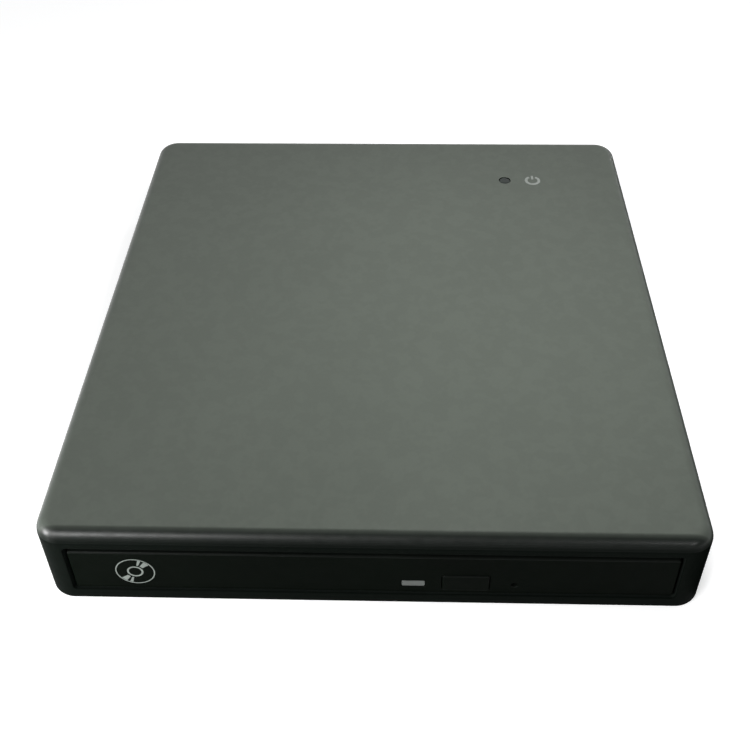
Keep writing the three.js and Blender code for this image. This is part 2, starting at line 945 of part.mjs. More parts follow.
function addRearBoard(parent) {
  addPart(parent, 'bridge_board', bridgeBoard(), finishes.board);
  addPart(parent, 'bridge_chip', bridgeChip(), finishes.chip);
  addPart(parent, 'usb_socket', usbSocket(), finishes.brightSteel);
  addPart(parent, 'power_socket', powerSocket(), finishes.connector);
  addPart(parent, 'board_connector', boardConnector(), finishes.connector);
  const led = block(
    lightX - ledWidth / 2,
    lightX + ledWidth / 2,
    lightY - ledDepth / 2,
    lightY + ledDepth / 2,
    bridgeBoardTop,
    bridgeBoardTop + ledHeight,
  );
  addPart(parent, 'status_led', led, finishes.acetal);
  addPart(parent, 'light_pipe', lightPipe(), finishes.smokedLens);
}

// Drive chassis

function drivePan() {
  const shell = block(-panHalf, panHalf, panFront, driveRear, 0, panTop);
  const inside = block(-panInner, panInner, panFront - 1, driveRear - sheet, sheet, panTop + 1);
  const plugHole = block(
    -plugWidth / 2 - plugHoleGap,
    plugWidth / 2 + plugHoleGap,
    driveRear - sheet - 1,
    driveRear + 1,
    mainBoardTop - plugHoleGap / 2,
    mainBoardTop + plugHeight + plugHoleGap,
  );
  const standoffs = [-1, 1].flatMap((side) => [-1, 1].map((end) => cylinder(
    standoffRadius,
    side * (mainBoardWidth / 2 - standoffInset),
    mainBoardFront + mainBoardDepth / 2 + end * standoffSpread,
    sheet - overlap,
    mainBoardBottom,
  )));
  const stop = block(
    -ejectorOffset - stopTabWidth / 2,
    -ejectorOffset + stopTabWidth / 2,
    stopY,
    stopY + sheet,
    sheet - overlap,
    ejectorLevel + ejectorRadius + fitGap,
  );
  return join(cut(shell, inside, plugHole), ...standoffs, stop);
}

function driveLid() {
  const lidRear = driveRear + fitGap;
  const cover = block(-lidHalf, lidHalf, panFront, lidRear + sheet, lidUnder - lidSkirt, driveHeight);
  const inside = block(
    -lidHalf + sheet,
    lidHalf - sheet,
    panFront - 1,
    lidRear,
    lidUnder - lidSkirt - 1,
    lidUnder,
  );
  return cut(cover, inside);
}

function guideChannel(side) {
  const outer = side * guideOuter;
  const inner = side * (guideOuter - guideWidth);
  const web = side * (guideOuter - guideWall);
  const outline = corners([
    [outer, sheet],
    [inner, sheet],
    [inner, sheet + guideFlange],
    [web, sheet + guideFlange],
    [web, guideTop - guideFlange],
    [inner, guideTop - guideFlange],
    [inner, guideTop],
    [outer, guideTop],
  ]);
  return slabAlongY(outline, panFront + guideFrontInset, driveRear - sheet - guideRearRoom);
}

function runner(side) {
  const outer = side * runnerOuter;
  const inner = side * runnerInner;
  const web = side * (runnerOuter - runnerWall);
  const outline = corners([
    [outer, runnerBottom],
    [inner, runnerBottom],
    [inner, runnerBottom + runnerFlange],
    [web, runnerBottom + runnerFlange],
    [web, runnerTop - runnerFlange],
    [inner, runnerTop - runnerFlange],
    [inner, runnerTop],
    [outer, runnerTop],
  ]);
  return slabAlongY(outline, panFront + guideFrontInset, driveRear - sheet - runnerRearRoom);
}

function mainBoard() {
  return block(
    -mainBoardWidth / 2,
    mainBoardWidth / 2,
    mainBoardFront,
    mainBoardFront + mainBoardDepth,
    mainBoardBottom,
    mainBoardTop,
  );
}

function mainChip() {
  const right = mainBoardWidth / 2 - mainChipSideInset;
  const front = mainBoardFront + mainChipFrontInset;
  return block(
    right - mainChipWidth,
    right,
    front,
    front + mainChipDepth,
    mainBoardTop,
    mainBoardTop + chipHeight,
  );
}

function drivePlug() {
  const level = mainBoardTop + plugHeight / 2;
  const body = block(
    -plugWidth / 2,
    plugWidth / 2,
    driveRear - plugDepth,
    driveRear + fitGap,
    mainBoardTop,
    mainBoardTop + plugHeight,
  );
  const tongue = block(
    -plugWidth / 2 + plugTongueInset,
    plugWidth / 2 - plugTongueInset,
    driveRear - overlap,
    bridgeBoardFront + fitGap + plugTongueReach,
    level - plugTongue / 2,
    level + plugTongue / 2,
  );
  return join(body, tongue);
}

function lockPin() {
  return turned([
    [0, sheet],
    [lockPinRadius, sheet],
    [lockPinRadius, sheet + lockPinHeight - lockPinEdge],
    [lockPinRadius - lockPinEdge, sheet + lockPinHeight],
    [0, sheet + lockPinHeight],
  ], smallSides, lockPinX, lockPinY);
}

// The flat cable lies doubled on the pan: a lower run, and an upper run with the fold.
const flexFold = mainBoardFront - flexLength;
const flexBottom = sheet + flexGap / 2;
const flexTop = trayBottom - flexGap;

function flexLowerRun() {
  return block(
    -flexWidth / 2,
    flexWidth / 2,
    flexFold + flexFoldRoom,
    mainBoardFront - flexGap,
    flexBottom,
    flexBottom + flexThickness,
  );
}

function flexUpperRun() {
  const half = flexWidth / 2;
  return join(
    block(-half, half, flexFold, chamberRear - trayWall, flexTop - flexThickness, flexTop),
    block(-half, half, flexFold, flexFold + flexThickness, flexBottom, flexTop),
  );
}

function addChassis(parent) {
  addPart(parent, 'drive_pan', drivePan(), finishes.steel);
  addPart(parent, 'drive_lid', driveLid(), finishes.steel);
  addPart(parent, 'guide_left', guideChannel(-1), finishes.connector);
  addPart(parent, 'guide_right', guideChannel(1), finishes.connector);
  addPart(parent, 'runner_left', runner(-1), finishes.brightSteel);
  addPart(parent, 'runner_right', runner(1), finishes.brightSteel);
  addPart(parent, 'main_board', mainBoard(), finishes.board);
  addPart(parent, 'main_chip', mainChip(), finishes.chip);
  addPart(parent, 'drive_plug', drivePlug(), finishes.connector);
  addPart(parent, 'lock_pin', lockPin(), finishes.brightSteel);
  addPart(parent, 'flex_lower_run', flexLowerRun(), finishes.flex);
  addPart(parent, 'flex_upper_run', flexUpperRun(), finishes.flex);
}

// The turned frame of the traverse unit: X runs outwards along the sled's path.
const sledTurn = THREE.MathUtils.degToRad(sledAngle);
const intoTurned = new THREE.Matrix4()
  .makeTranslation(0, spindleY, 0)
  .multiply(new THREE.Matrix4().makeRotationZ(sledTurn));

// Moves a solid from the turned frame to the tray's frame.
function turnedOut(body) {
  return body.transform(intoTurned.elements);
}

// Moves a solid from the tray's frame to the turned frame.
function turnedIn(body) {
  return body.transform(intoTurned.clone().invert().elements);
}

const traverseBox = {
  start: -traverseRear,
  end: sweepEnd + traverseEndRoom,
  left: -sweepHalf - traverseLeftRoom,
  right: screwOffset + traverseScrewRoom,
};

// The traverse unit's own room: a turned box, kept inside the tray's skirt.
function traverseRoom(grow, z0, z1) {
  const room = block(
    traverseBox.start - grow,
    traverseBox.end + grow,
    traverseBox.left - grow,
    traverseBox.right + grow,
    z0,
    z1,
  );
  const skirtBox = block(
    -skirtInner + fitGap,
    skirtInner - fitGap,
    chamberFront + fitGap,
    chamberRear - trayWall - fitGap,
    z0 - 1,
    z1 + 1,
  );
  return room.intersect(turnedIn(skirtBox));
}

const damperPlaces = [
  [damperFirst, traverseBox.left - damperOutset],
  [sweepEnd - damperEndInset, traverseBox.left - damperOutset],
  [traverseBox.start - damperOutset, damperThird],
];

// Tray

function trayShell() {
  const rim = block(-trayHalf, trayHalf, trayFront, trayRear, rimBottom, trayRimHeight);
  const deck = block(-skirtOuter, skirtOuter, trayFront, chamberRear, deckBottom, trayRimHeight);
  const skirt = cut(
    block(-skirtOuter, skirtOuter, trayFront, chamberRear, trayBottom, rimBottom + overlap),
    block(-skirtInner, skirtInner, chamberFront, chamberRear - trayWall, trayBottom - 1, deckBottom),
  );
  const sideWalls = [-1, 1].map((side) => block(
    Math.min(side * skirtInner, side * skirtOuter),
    Math.max(side * skirtInner, side * skirtOuter),
    trayFront,
    trayRear - trayEndInset,
    trayBottom,
    rimBottom + overlap,
  ));
  const tongues = [-1, 1].map((side) => block(
    Math.min(side * (skirtOuter - overlap), side * tongueOuter),
    Math.max(side * (skirtOuter - overlap), side * tongueOuter),
    panFront + tongueFrontInset,
    trayRear - trayEndInset,
    tongueLevel - tongueThickness / 2,
    tongueLevel + tongueThickness / 2,
  ));
  return join(rim, deck, skirt, ...sideWalls, ...tongues);
}

function trayCuts() {
  const discRecess = cylinder(recessRadius, 0, spindleY, recessFloor, trayRimHeight + 1, largeSides * 2);
  const smallRecess = cylinder(
    smallDiscRadius + recessGap / 2,
    0,
    spindleY,
    deckPlateTop,
    recessFloor + 1,
    largeSides,
  );
  const well = turnedOut(traverseRoom(0, trayBottom - 1, recessFloor + 1));
  const rebate = turnedOut(traverseRoom(deckLedge, deckPlateBottom, recessFloor + 1));
  const boardWindow = block(
    trayBoardLeft - trayBoardSlack,
    trayBoardLeft + trayBoardLength + trayBoardSlack,
    trayFront - 1,
    chamberFront + 1,
    trayBottom - 1,
    deckBottom,
  );
  const pinChannel = block(
    lockPinX - lockPinRadius - pinChannelGap,
    lockPinX + lockPinRadius + pinChannelGap,
    chamberRear - trayWall - 1,
    chamberRear + 1,
    trayBottom - 1,
    sheet + lockPinHeight + pinChannelHeadroom,
  );
  const notches = [-1, 1].map((side) => {
    const angle = side < 0 ? Math.PI * 0.75 : Math.PI * 0.25;
    const x = Math.cos(angle) * recessRadius;
    const y = spindleY + Math.sin(angle) * recessRadius;
    return cylinder(fingerNotchRadius, x, y, recessFloor - fingerNotchDepth, trayRimHeight + 1, mediumSides);
  });
  return [discRecess, smallRecess, well, rebate, boardWindow, pinChannel, ...notches];
}

const damperBottom = frameBottom - (damperHeight - frameThickness) / 2;

function damperPosts() {
  return damperPlaces.map(([x, y]) => turnedOut(
    cylinder(damperPostRadius, x, y, damperBottom, deckBottom + overlap),
  ));
}

function leverPivot() {
  const collarBottom = leverBottom + leverThickness + fitGap;
  const collarRadius = leverPivotRadius + leverCollar;
  return join(
    cylinder(collarRadius, leverPivotX, leverPivotY, collarBottom, deckBottom + overlap),
    cylinder(leverPivotRadius, leverPivotX, leverPivotY, leverBottom - overlap, collarBottom + overlap),
  );
}

function ejectorHouse() {
  const half = ejectorHousing / 2;
  const end = chamberRear - trayWall + overlap;
  return block(
    -ejectorOffset - half,
    -ejectorOffset + half,
    end - ejectorHousingLength,
    end,
    ejectorLevel - half,
    deckBottom + overlap,
  );
}

function tray() {
  const whole = cut(trayShell(), ...trayCuts());
  const fitted = join(whole, ...damperPosts(), leverPivot(), ejectorHouse());
  const bore = cylinderAlongY(
    ejectorRadius + fitGap,
    -ejectorOffset,
    chamberRear - trayWall - ejectorHousingLength,
    chamberRear + 1,
    ejectorLevel,
  );
  return cut(fitted, bore);
}

// The bezel's front is a little lower than the drive; a shoulder behind it covers the rest.
function trayBezel() {
  const bezelWidth = driveWidth - 2 * bezelSideGap;
  const bezelHeight = driveHeight - bezelTopDrop;
  const back = bezelBack - bezelBackGap;
  const panel = frontPanel(
    bezelWidth,
    bezelHeight,
    bezelCornerRadius,
    bezelEdgeRadius,
    0,
    bezelHeight / 2,
    bezelFront,
    back,
  );
  const shoulderHalf = bezelWidth / 2 - bezelCornerRadius;
  const shoulder = block(
    -shoulderHalf,
    shoulderHalf,
    back - shoulderDepth,
    back,
    bezelHeight - overlap,
    driveHeight,
  );
  const throughFront = bezelFront - 1;
  const throughBack = bezelBack + 1;
  const buttonHole = slabAlongY(
    roundedOutline(
      buttonWidth + 2 * buttonGap,
      buttonHeight + 2 * buttonGap,
      buttonHoleRadius,
      buttonCentre,
      buttonLevel,
      panelSteps,
    ),
    throughFront,
    throughBack,
  );
  const windowHole = slabAlongY(
    roundedOutline(
      windowWidth + 2 * fitGap,
      windowHeight + 2 * fitGap,
      windowCornerRadius,
      windowCentre,
      windowLevel,
      panelSteps,
    ),
    throughFront,
    throughBack,
  );
  const pinhole = cylinderAlongY(pinholeRadius, pinholeOffset, throughFront, throughBack, windowLevel);
  return cut(join(panel, shoulder), buttonHole, windowHole, pinhole);
}

function lightWindow() {
  return frontPanel(
    windowWidth,
    windowHeight,
    windowCornerRadius,
    windowEdgeRadius,
    windowCentre,
    windowLevel,
    bezelFront + windowSetback,
    chamberFront - windowBackGap,
  );
}

function deckPlate() {
  const plate = traverseRoom(deckLedge - fitGap, deckPlateBottom, deckPlateTop);
  const spindleHole = cylinder(
    platformRadius + platformGap,
    0,
    0,
    deckPlateBottom - 1,
    deckPlateTop + 1,
    largeSides,
  );
  const slotStart = lensInner - turretHalf - deckSlotRun;
  const slotEnd = lensInner + sledTravel + turretHalf + deckSlotEndGap;
  const slot = slab(
    roundedOutline(
      slotEnd - slotStart,
      2 * (turretHalf + deckSlotSideGap),
      deckSlotRadius,
      (slotStart + slotEnd) / 2,
      0,
      panelSteps,
    ),
    deckPlateBottom - 1,
    deckPlateTop + 1,
  );
  return cut(plate, spindleHole, slot);
}

function underPlate() {
  const plate = block(
    -skirtInner + fitGap,
    leverPivotX - leverPivotRadius - underPlateLeverGap,
    chamberFront + fitGap,
    chamberRear - trayWall - fitGap,
    trayBottom,
    trayBottom + underPlateThickness,
  );
  const relief = damperPlaces.map(([x, y]) => turnedOut(
    cylinder(damperRadius + damperRelief, x, y, trayBottom - 1, trayBottom + 2, mediumSides),
  ));
  return cut(plate, ...relief);
}

function trayBoard() {
  return block(
    trayBoardLeft,
    trayBoardLeft + trayBoardLength,
    chamberFront + fitGap,
    chamberFront + fitGap + trayBoardDepth,
    trayBoardBottom,
    trayBoardBottom + boardThickness,
  );
}

function ejectSwitch() {
  const face = switchFront + plungerReach;
  const body = block(
    buttonCentre - switchWidth / 2,
    buttonCentre + switchWidth / 2,
    face,
    face + switchDepth,
    trayBoardBottom + boardThickness,
    buttonLevel + switchHeadroom,
  );
  const plunger = block(
    buttonCentre - plungerWidth / 2,
    buttonCentre + plungerWidth / 2,
    switchFront,
    face + overlap,
    buttonLevel - stemHeight / 2,
    buttonLevel + stemHeight / 2,
  );
  return join(body, plunger);
}

function ejectButton() {
  const face = frontPanel(
    buttonWidth,
    buttonHeight,
    buttonCornerRadius,
    buttonEdgeRadius,
    buttonCentre,
    buttonLevel,
    bezelFront - buttonProud,
    bezelBack - buttonBackInset,
  );
  const stem = block(
    buttonCentre - stemWidth / 2,
    buttonCentre + stemWidth / 2,
    bezelBack - buttonBackInset - overlap,
    stemEnd,
    buttonLevel - stemHeight / 2,
    buttonLevel + stemHeight / 2,
  );
  return join(face, stem);
}

function lockCoil() {
  const right = leverPivotX - leverPivotRadius - coilGap;
  const front = lockPinY + coilOffset;
  const bottom = trayBottom + coilLift;
  const top = deckBottom - fitGap;
  const bobbin = block(right - coilLength, right, front, front + coilDepth, bottom, top);
  const core = cylinderAlongX(
    coilCoreRadius,
    right - overlap,
    right + coilCoreReach,
    front + coilDepth / 2,
    (bottom + top) / 2,
  );
  return join(bobbin, core);
}

// The lever's hook swings behind the lock pin to hold the tray shut.
function lockLever() {
  const armLeft = leverPivotX - leverWidth / 2;
  const armRight = leverPivotX + leverWidth / 2;
  const hookFace = lockPinY + lockPinRadius + fitGap;
  const hookTip = lockPinX - lockPinRadius - hookGap;
  const outline = corners([
    [armLeft, hookFace],
    [hookTip, hookFace],
    [hookTip, hookFace + hookInnerHeight],
    [armRight, hookFace + hookOuterHeight],
    [armRight, leverPivotY + leverHeel],
    [armLeft, leverPivotY + leverHeel],
  ]);
  const body = slab(outline, leverBottom, leverBottom + leverThickness);
  const bore = cylinder(
    leverPivotRadius + fitGap,
    leverPivotX,
    leverPivotY,
    leverBottom - 1,
    leverBottom + leverThickness + 1,
  );
  return cut(body, bore);
}

function ejectorPin() {
  const tip = stopY - fitGap;
  return cylinderAlongY(ejectorRadius, -ejectorOffset, tip - ejectorLength, tip, ejectorLevel);
}

function addTray(parent) {
  addPart(parent, 'tray', tray(), finishes.trayPlastic);
  addPart(parent, 'tray_bezel', trayBezel(), finishes.bezelPlastic);
  addPart(parent, 'light_window', lightWindow(), finishes.paleWindow);
  addPart(parent, 'under_plate', underPlate(), finishes.steel);
  addPart(parent, 'tray_board', trayBoard(), finishes.board);
  addPart(parent, 'eject_switch', ejectSwitch(), finishes.acetal);
  addPart(parent, 'eject_button', ejectButton(), finishes.bezelPlastic);
  addPart(parent, 'lock_coil', lockCoil(), finishes.copper);
  addPart(parent, 'lock_lever', lockLever(), finishes.brightSteel);
  addPart(parent, 'ejector_pin', ejectorPin(), finishes.brightSteel);
}

// Traverse unit, drawn in the turned frame

const rodStart = sledInner - rodStartReach;
const rodEnd = sweepEnd + rodEndReach;
const bearingStart = lensInner + sledTravel + nutHalfLength + bearingGap;

function traverseFrame() {
  const plate = traverseRoom(-fitGap, frameBottom, frameTop);
  const ears = damperPlaces.flatMap(([x, y]) => [
    cylinder(earRadius, x, y, frameBottom, frameTop, mediumSides),
    y < 0
      ? block(x - earRadius, x + earRadius, y, y + earBridge, frameBottom, frameTop)
      : block(x, x + earBridge, y - earRadius, y + earRadius, frameBottom, frameTop),
  ]);
  const sweepStart = sledInner - rodPostStart;
  const sweepStop = sweepEnd + sweepEndGap;
  const sweep = block(sweepStart, sweepStop, -sweepHalf, sweepHalf, frameBottom - 1, frameTop + 1);
  const rotorHole = cylinder(rotorRadius + rotorGap, 0, 0, frameBottom - 1, frameTop + 1, largeSides);
  const motorRoom = block(
    screwStart - motorLength - fitGap,
    screwStart,
    screwOffset - motorRadius - fitGap,
    screwOffset + motorRadius + fitGap,
    frameBottom - 1,
    frameTop + 1,
  );
  const earHoles = damperPlaces.map(([x, y]) => (
    cylinder(earHoleRadius, x, y, frameBottom - 1, frameTop + 1, smallSides)
  ));
  const postSpans = [[rodStart - rodPostStart, sweepStart], [sweepStop, rodEnd + rodPostEnd]];
  const rodPosts = [-1, 1].flatMap((side) => postSpans.map(([from, to]) => block(
    from,
    to,
    side * rodSpread - rodPostWidth / 2,
    side * rodSpread + rodPostWidth / 2,
    frameBottom,
    frameBottom + rodPostHeight,
  )));
  const rodBores = [-1, 1].map((side) => cylinderAlongX(
    rodRadius + fitGap,
    rodStart - fitGap,
    rodEnd + fitGap,
    side * rodSpread,
    rodHeight,
  ));
  const drilled = cut(join(plate, ...ears), sweep, rotorHole, motorRoom, ...earHoles);
  return cut(join(drilled, ...rodPosts), ...rodBores);
}

function spindleBase() {
  const plateBottom = frameBottom - spindlePlateThickness;
  const sleeveTop = cupUnder - fitGap;
  const plate = cylinder(spindlePlateRadius, 0, 0, plateBottom, frameBottom, largeSides);
  const sleeve = cylinder(
    shaftRadius + sleeveWall,
    0,
    0,
    (plateBottom + frameBottom) / 2,
    sleeveTop,
    mediumSides,
  );
  const bore = cylinder(shaftRadius + fitGap, 0, 0, frameBottom, sleeveTop + 1, mediumSides);
  return cut(join(plate, sleeve), bore);
}

function stator() {
  const inner = shaftRadius + sleeveWall + fitGap;
  const outer = rotorRadius - rotorWall - fitGap;
  const bottom = frameBottom + rotorLift;
  const top = cupUnder - statorTopGap;
  const ring = cylinder(outer, 0, 0, bottom, top, largeSides);
  const bore = cylinder(inner, 0, 0, bottom - 1, top + 1, mediumSides);
  const half = poleSlotWidth / 2;
  const slots = Array.from({ length: poleCount }, (_, pole) => {
    const slot = block(inner + statorYoke, outer + 1, -half, half, bottom - 1, top + 1);
    return slot.rotate([0, 0, pole * 360 / poleCount]);
  });
  return cut(ring, bore, ...slots);
}

const pawlBottom = discHeight + discThickness + pawlLift;
const pawlInner = hubRadius + pawlReach - pawlLength;

function turntable() {
  const bottom = frameBottom + rotorLift;
  const body = turned([
    [0, bottom],
    [shaftRadius, bottom],
    [shaftRadius, cupUnder],
    [rotorRadius - rotorWall, cupUnder],
    [rotorRadius - rotorWall, bottom],
    [rotorRadius, bottom],
    [rotorRadius, sledTop],
    [neckRadius, sledTop],
    [neckRadius, platformTop - platformThickness],
    [platformRadius, platformTop - platformThickness],
    [platformRadius, platformTop],
    [hubRadius, platformTop],
    [hubRadius, hubHeight - hubBevelHeight],
    [hubRadius - hubBevelWidth, hubHeight],
    [0, hubHeight],
  ], largeSides);
  const slots = Array.from({ length: pawlCount }, (_, pawl) => {
    const slot = block(
      pawlInner - pawlTravel - fitGap,
      hubRadius + 1,
      -pawlWidth / 2 - fitGap,
      pawlWidth / 2 + fitGap,
      pawlBottom - fitGap,
      pawlBottom + pawlHeight + fitGap,
    );
    return slot.rotate([0, 0, pawl * 360 / pawlCount]);
  });
  return cut(body, ...slots);
}

function discPad() {
  const outer = platformRadius - padEdge;
  const inner = hubRadius + padHubGap;
  return turned([
    [inner, platformTop],
    [outer, platformTop],
    [outer, discHeight],
    [inner, discHeight],
    [inner, platformTop],
  ], largeSides);
}

function pawl() {
  const tip = hubRadius + pawlReach;
  const outline = corners([
    [pawlInner, pawlBottom],
    [tip, pawlBottom],
    [tip, pawlBottom + pawlTipHeight],
    [tip - pawlBevel, pawlBottom + pawlHeight],
    [pawlInner, pawlBottom + pawlHeight],
  ]);
  return slabAlongY(outline, -pawlWidth / 2, pawlWidth / 2);
}

function pickupSled() {
  const body = block(
    lensInner - sledHalfLength,
    lensInner + sledHalfLength,
    -sledHalfWidth,
    sledHalfWidth,
    sledBottom,
    sledTop,
  );
  const turret = block(
    lensInner - turretHalf,
    lensInner + turretHalf,
    -turretHalf,
    turretHalf,
    sledTop - overlap,
    sledTop + turretHeight,
  );
  const arm = block(
    lensInner - nutHalfLength,
    lensInner + nutHalfLength,
    sledHalfWidth - overlap,
    screwOffset + nutReach,
    screwHeight - nutDrop,
    screwHeight - nutDrop + nutHeight,
  );
  const rodBores = [-1, 1].map((side) => cylinderAlongX(
    rodRadius + fitGap,
    lensInner - sledHalfLength - 1,
    lensInner + sledHalfLength + 1,
    side * rodSpread,
    rodHeight,
  ));
  const screwBore = cylinderAlongX(
    leadScrewRadius + fitGap,
    lensInner - nutHalfLength - 1,
    lensInner + nutHalfLength + 1,
    screwOffset,
    screwHeight,
  );
  const pocket = block(
    lensInner - lensHolderLength / 2 - lensPocketGap,
    lensInner + lensHolderLength / 2 + lensPocketGap,
    -lensHolderWidth / 2 - lensPocketGap,
    lensHolderWidth / 2 + lensPocketGap,
    sledTop - lensHolderHeight - 2 * lensTravel,
    sledTop + 1,
  );
  return cut(join(body, turret, arm), ...rodBores, screwBore, pocket);
}

const holderTop = sledTop + turretHeight - lensTravel;
const lensSeat = holderTop - lensSeatDepth;

function lensHolder() {
  const body = slab(
    roundedOutline(lensHolderLength, lensHolderWidth, lensHolderRadius, lensInner, 0, panelSteps),
    sledTop - lensHolderHeight,
    holderTop,
  );
  const seat = cylinder(lensRadius + fitGap, lensInner, 0, lensSeat, holderTop + 1, mediumSides);
  return cut(body, seat);
}

function lens() {
  const edge = lensSeat + lensEdge;
  return turned([
    [0, lensSeat],
    [lensRadius, lensSeat],
    [lensRadius, edge],
    [lensRadius * 0.8, edge + lensDome * 0.5],
    [lensRadius * 0.45, edge + lensDome * 0.85],
    [0, edge + lensDome],
  ], mediumSides, lensInner, 0);
}

function leadScrew() {
  const end = bearingStart + bearingEngagement;
  return cylinderAlongX(leadScrewRadius, screwStart + fitGap, end, screwOffset, screwHeight);
}

function feedMotor() {
  return cylinderAlongX(
    motorRadius,
    screwStart - motorLength,
    screwStart,
    screwOffset,
    screwHeight,
    mediumSides,
  );
}

function screwBearing() {
  const body = block(
    bearingStart,
    bearingStart + bearingLength,
    screwOffset - bearingHalf,
    screwOffset + bearingHalf,
    frameTop,
    screwHeight + bearingHalf,
  );
  const pocket = cylinderAlongX(
    leadScrewRadius + fitGap / 2,
    bearingStart - 1,
    bearingStart + bearingDepth,
    screwOffset,
    screwHeight,
  );
  return cut(body, pocket);
}

// A rubber grommet whose groove holds the frame's ear.
function damper() {
  const bore = damperPostRadius + damperBoreGap;
  const top = damperBottom + damperHeight;
  const grooveBottom = frameBottom - damperSlack;
  const grooveTop = frameTop + damperSlack;
  return turned([
    [bore, damperBottom],
    [damperRadius, damperBottom],
    [damperRadius, grooveBottom],
    [damperNeckRadius, grooveBottom],
    [damperNeckRadius, grooveTop],
    [damperRadius, grooveTop],
    [damperRadius, top],
    [bore, top],
    [bore, damperBottom],
  ], smallSides);
}

function addTraverse(parent) {
  addPart(parent, 'deck_plate', deckPlate(), finishes.steel);
  addPart(parent, 'traverse_frame', traverseFrame(), finishes.steel);
  addPart(parent, 'spindle_base', spindleBase(), finishes.steel);
  addPart(parent, 'stator', stator(), finishes.copper);
  [['left', -1], ['right', 1]].forEach(([side, sign]) => {
    const rod = cylinderAlongX(rodRadius, rodStart, rodEnd, sign * rodSpread, rodHeight);
    addPart(parent, `guide_rod_${side}`, rod, finishes.brightSteel);
  });
  addPart(parent, 'feed_motor', feedMotor(), finishes.steel);
  addPart(parent, 'screw_bearing', screwBearing(), finishes.acetal);
  damperPlaces.forEach(([x, y], place) => {
    const grommet = addPart(parent, `damper_${place + 1}`, damper(), finishes.rubber);
    grommet.position.set(x, y, 0);
  });
  addPart(parent, 'turntable', turntable(), finishes.connector);
  addPart(parent, 'disc_pad', discPad(), finishes.rubber);
  for (let place = 0; place < pawlCount; place += 1) {
    const wedge = addPart(parent, `clamp_pawl_${place + 1}`, pawl(), finishes.acetal);
    wedge.rotation.z = place * 2 * Math.PI / pawlCount;
  }
  addPart(parent, 'pickup_sled', pickupSled(), finishes.connector);
  addPart(parent, 'lens_holder', lensHolder(), finishes.connector);
  addPart(parent, 'pickup_lens', lens(), finishes.glass);
  addPart(parent, 'lead_screw', leadScrew(), finishes.brightSteel);
}

// Assembly

const drive = new THREE.Group();
const enclosure = new THREE.Group();
enclosure.position.z = footHeight;
addEnclosure(enclosure);
addRearBoard(enclosure);

const chassis = new THREE.Group();
chassis.position.z = footHeight + driveBase;
addChassis(chassis);
addTray(chassis);

const traverse = new THREE.Group();
traverse.position.set(0, spindleY, 0);
traverse.rotation.z = sledTurn;
addTraverse(traverse);
chassis.add(traverse);

drive.add(enclosure, chassis);

export default drive;
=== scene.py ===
"""External optical drive: the looks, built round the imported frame. Metres, +Z up."""
import json
import math
import random

import bmesh
import bpy
from mathutils import Matrix, Vector
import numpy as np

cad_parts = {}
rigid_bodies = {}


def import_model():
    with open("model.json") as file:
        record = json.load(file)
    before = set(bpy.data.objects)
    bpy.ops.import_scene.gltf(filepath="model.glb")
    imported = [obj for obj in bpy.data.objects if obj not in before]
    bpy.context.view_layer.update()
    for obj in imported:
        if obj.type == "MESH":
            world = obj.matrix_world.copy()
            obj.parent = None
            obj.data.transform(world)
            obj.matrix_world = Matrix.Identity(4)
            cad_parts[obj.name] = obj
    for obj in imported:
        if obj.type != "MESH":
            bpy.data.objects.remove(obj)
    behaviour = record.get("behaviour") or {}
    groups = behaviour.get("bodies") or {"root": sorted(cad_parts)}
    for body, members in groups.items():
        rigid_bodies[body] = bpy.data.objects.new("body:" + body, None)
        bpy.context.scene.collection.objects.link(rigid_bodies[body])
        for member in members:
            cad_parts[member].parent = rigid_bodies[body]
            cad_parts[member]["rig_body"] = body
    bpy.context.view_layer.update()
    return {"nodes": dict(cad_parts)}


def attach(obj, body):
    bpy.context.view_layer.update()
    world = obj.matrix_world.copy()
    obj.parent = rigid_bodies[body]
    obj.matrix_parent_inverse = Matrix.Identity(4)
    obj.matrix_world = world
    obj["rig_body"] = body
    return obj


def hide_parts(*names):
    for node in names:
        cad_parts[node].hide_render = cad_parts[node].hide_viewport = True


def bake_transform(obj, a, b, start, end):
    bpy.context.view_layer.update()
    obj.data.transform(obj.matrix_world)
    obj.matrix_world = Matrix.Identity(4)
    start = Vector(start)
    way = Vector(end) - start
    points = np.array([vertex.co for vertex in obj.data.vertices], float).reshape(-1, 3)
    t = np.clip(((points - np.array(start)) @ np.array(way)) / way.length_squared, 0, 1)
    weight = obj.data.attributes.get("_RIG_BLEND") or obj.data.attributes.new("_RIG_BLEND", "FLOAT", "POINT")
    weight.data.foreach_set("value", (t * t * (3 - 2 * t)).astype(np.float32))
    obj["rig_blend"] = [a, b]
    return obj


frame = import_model()
cad = frame["nodes"]
MM = 0.001

# Sizes in millimetres, in the frame's own axes; _X and _Y are half widths or places.
# The cover's top lies an ink layer under the CAD's top.
CASE_X, CASE_Y = 70.5, 77.25
INK = 0.012
CASE_BOTTOM, CASE_TOP = 1.0, 22.7 - INK
CASE_WALL, CASE_ROOF = 1.6, 1.8
CORNER, TOP_ROLL, BOTTOM_ROLL = 5.8, 3.2, 0.9
DRIVE = 4.6
MOUTH_X, MOUTH_LOW, MOUTH_HIGH = 64.3, 4.35, 18.3
MOUTH_CORNER, HOLE_EDGE = 0.8, 0.3
BEZEL_X, BEZEL_FRONT, BEZEL_BACK = 63.8, -76.85, -72.95
BEZEL_LOW, BEZEL_HIGH = DRIVE - 0.08, 16.8
BEZEL_CORNER, BEZEL_EDGE = 0.8, 0.5
SHOULDER_LOW, SHOULDER_HIGH, SHOULDER_DEPTH = 16.3, 17.3, 2
BUTTON_X, BUTTON_Z, BUTTON_W, BUTTON_H = 19.8, DRIVE + 3.65, 10.0, 5.0
WINDOW_X, WINDOW_Z, WINDOW_W, WINDOW_H = 8.7, DRIVE + 3.05, 5.0, 1.9
PINHOLE_X, PINHOLE_RADIUS = 30.1, 0.7
FRONT_HOLE_DEPTH = 6
LIGHT = (35.8, 54.75)
SYMBOL = (44.0, 54.75)
